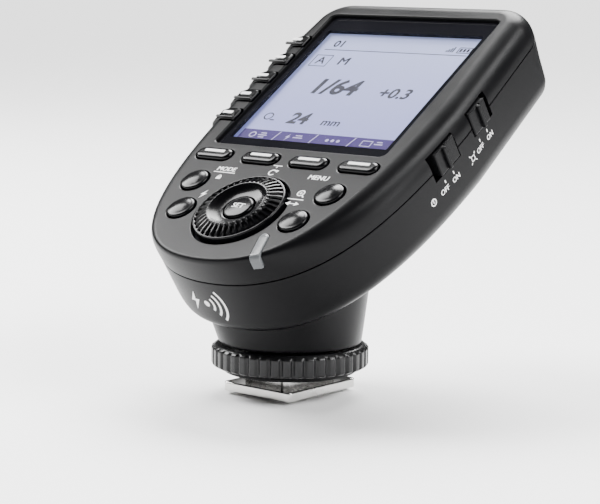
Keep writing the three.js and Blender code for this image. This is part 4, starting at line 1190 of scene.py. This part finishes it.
def build_screws():
    for i, (x, y) in enumerate(FOOT_SCREWS):
        screw(f"foot_screw_{i + 1}_body", x, y, 0.1, 1.35, 0.85, 0.7, 8.8, SHOE, f"foot_screw_{i + 1}")
    for i, (x, y) in enumerate(CASE_SCREWS):
        screw(f"case_screw_{i + 1}_body", x, y, -12.8, 1.8, 1.2, 0.85, 8.9, HEAD, f"case_screw_{i + 1}")
    for i, (x, y) in enumerate(NECK_SCREWS):
        z = UNDERSIDE + WALL + GAP + 1.2
        screw(f"neck_screw_{i + 1}_body", x, y, z, 1.8, 1.2, 0.95, 7.4, HEAD, f"neck_screw_{i + 1}", True)


# ---------------------------------------------------------------- batteries, ports and inner parts

def build_cell(index, x, y, forwards):
    name = f"battery_cell_{index}"
    turn = Matrix.Rotation(-math.pi / 2 if forwards else math.pi / 2, 4, "X")
    place = HEAD @ Matrix.Translation((x, y, CELL.z)) @ turn
    r, length = CELL.radius, CELL.length
    profile = [(r - 1.2, 0.25), (r - 0.35, 0.25), (r - 0.08, 0.4), (r, 0.8), (r, length - 0.9),
               (r - 0.1, length - 0.5), (r - 0.5, length - 0.35), (r - 1.2, length - 0.35)]
    sleeve = lathe(name + "_sleeve", profile, place, 56)
    finish(sleeve, SLEEVE, "case", name)
    profile = [(0, 0), (r - 1.6, 0), (r - 1.0, 0.3), (r - 1.0, length - 0.4), (r - 1.6, length - 0.2),
               (3.2, length - 0.2), (2.9, length), (2.7, length + 0.7), (2.3, length + CELL.nub),
               (0, length + CELL.nub)]
    can = lathe(name + "_can", profile, place, 48)
    finish(can, STEEL, "case", None)


def build_inner_parts():
    near = BAY.low + 0.2
    far = BAY.high - 0.7
    build_cell(1, CELL.x, near + 2.95, True)
    build_cell(2, -CELL.x, far - 2.6, False)
    usb = cutter(-29.2, -22.3, USB.y - USB.half_y, USB.y + USB.half_y,
                 USB.z - USB.half_z, USB.z + USB.half_z)
    usb.name = "usb_port_shell"
    ease_edges(usb, 1.1, 5, 60)
    hollow = cutter(-31, -23.3, USB.y - 4.15, USB.y + 4.15, USB.z - 1.25, USB.z + 1.25)
    ease_edges(hollow, 0.9, 5, 60)
    cut(usb, hollow)
    tongue = cutter(-28.6, -23.0, USB.y - 3.3, USB.y + 3.3, USB.z - 0.35, USB.z + 0.35)
    ease_edges(tongue, 0.15, 2)
    join(usb, tongue)
    finish(usb, STEEL, "case", "usb_port")
    jack = side_rod(JACK.y, JACK.z, JACK.radius, -24.9, -14.5, "sync_jack_barrel")
    ease_edges(jack, 0.25, 3, 50)
    cut(jack, side_rod(JACK.y, JACK.z, 1.25, -27, -16))
    finish(jack, INNER, "case", "sync_jack")
    finishes = {
        WHITE_MARK: ("lcd_backlight",),
        INNER: ("dial_encoder", "power_switch_body", "af_switch_body"),
        SILICONE: ("keypad_mat",),
        BOARD: ("main_board",),
        STEEL: ("radio_shield", "battery_spring_1", "battery_spring_2",
                "battery_contact_plate", "door_contact_bridge"),
        RED_LENS: ("af_lamp_led",),
    }
    for look, nodes in finishes.items():
        for node in nodes:
            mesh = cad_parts[node].data
            mesh.materials.clear()
            mesh.materials.append(look)


# ---------------------------------------------------------------- stage, light and camera

def build_stage():
    floor_level = cad_box[0].z
    bpy.ops.mesh.primitive_plane_add(size=40, location=(0, 0, floor_level))
    floor = bpy.context.object
    floor.name = "floor"
    paper, _, _, shader = material("paper")
    shader.inputs["Base Color"].default_value = (0.92, 0.92, 0.92, 1)
    shader.inputs["Roughness"].default_value = 0.8
    floor.data.materials.append(paper)
    world = bpy.data.worlds.new("studio")
    world.use_nodes = True
    background = world.node_tree.nodes["Background"]
    background.inputs["Color"].default_value = (1, 1, 1, 1)
    background.inputs["Strength"].default_value = 0.08
    bpy.context.scene.world = world


def direction(azimuth, elevation):
    """Unit vector from the object; azimuth 0 points to -Y, a quarter turn to +X."""
    level = math.cos(elevation)
    return Vector((math.sin(azimuth) * level, -math.cos(azimuth) * level, math.sin(elevation)))


def softbox(name, azimuth, elevation, distance, width, height, power, target=(0, 0.005, 0.045)):
    """An area light on a sphere round the object, facing it. Azimuth 0 is at -Y, 90 at +X."""
    a, e = math.radians(azimuth), math.radians(elevation)
    away = direction(a, e)
    data = bpy.data.lights.new(name, "AREA")
    data.shape = "RECTANGLE"
    data.size, data.size_y = width, height
    data.energy = power
    lamp = bpy.data.objects.new(name, data)
    lamp.location = Vector(target) + away * distance
    lamp.rotation_mode = "QUATERNION"
    lamp.rotation_quaternion = (-away).to_track_quat("-Z", "Y")
    bpy.context.scene.collection.objects.link(lamp)


def build_broad_light():
    """One broad light from above and behind that keeps the paper pale all round."""
    data = bpy.data.lights.new("broad_light", "SUN")
    data.energy = 9.5
    data.angle = math.radians(38)
    lamp = bpy.data.objects.new("broad_light", data)
    lamp.rotation_mode = "QUATERNION"
    lamp.rotation_quaternion = Vector((0.3, -0.6, -0.78)).to_track_quat("-Z", "Y")
    bpy.context.scene.collection.objects.link(lamp)


def build_camera():
    azimuth, elevation, roll = math.radians(40.49), math.radians(8.37), math.radians(0.5)
    back = direction(azimuth, elevation)
    right = Vector((math.cos(azimuth), math.sin(azimuth), 0))
    up = back.cross(right)
    tilted_right = math.cos(roll) * right + math.sin(roll) * up
    tilted_up = -math.sin(roll) * right + math.cos(roll) * up
    turn = Matrix((tilted_right, tilted_up, back)).transposed().to_4x4()
    data = bpy.data.cameras.new("camera")
    data.lens = 120.3
    data.sensor_width = 36
    data.clip_start = 0.01
    camera = bpy.data.objects.new("camera", data)
    camera.matrix_world = Matrix.Translation((0.27342, -0.31726, 0.09102)) @ turn
    bpy.context.scene.collection.objects.link(camera)
    bpy.context.scene.camera = camera


build_camera()
build_stage()
build_broad_light()
softbox("key_light", -79, 44, 0.72, 0.34, 0.5, 14)
softbox("edge_light", 107, 42, 0.8, 0.6, 0.22, 9)
softbox("side_light", 108, 10, 0.8, 0.16, 0.3, 3)

build_upper_shell()
build_lower_shell()
build_battery_door()
build_screen()
build_display_content()
for key_name, (key_x, key_y) in ROUND_KEYS.items():
    build_round_key(key_name, key_x, key_y)
for number, key_x in enumerate(FUNCTION_X, start=1):
    build_function_key(number, key_x)
for group_letter, key_y in GROUP_Y.items():
    build_group_key(group_letter, key_y)
build_dial()
build_panel_print()
build_side_print()
build_nose_print()
build_lamp()
for switch_name, switch_place in SWITCHES.items():
    build_switch(switch_name, switch_place)
build_neck()
build_lock_ring()
build_foot()
build_screws()
build_inner_parts()
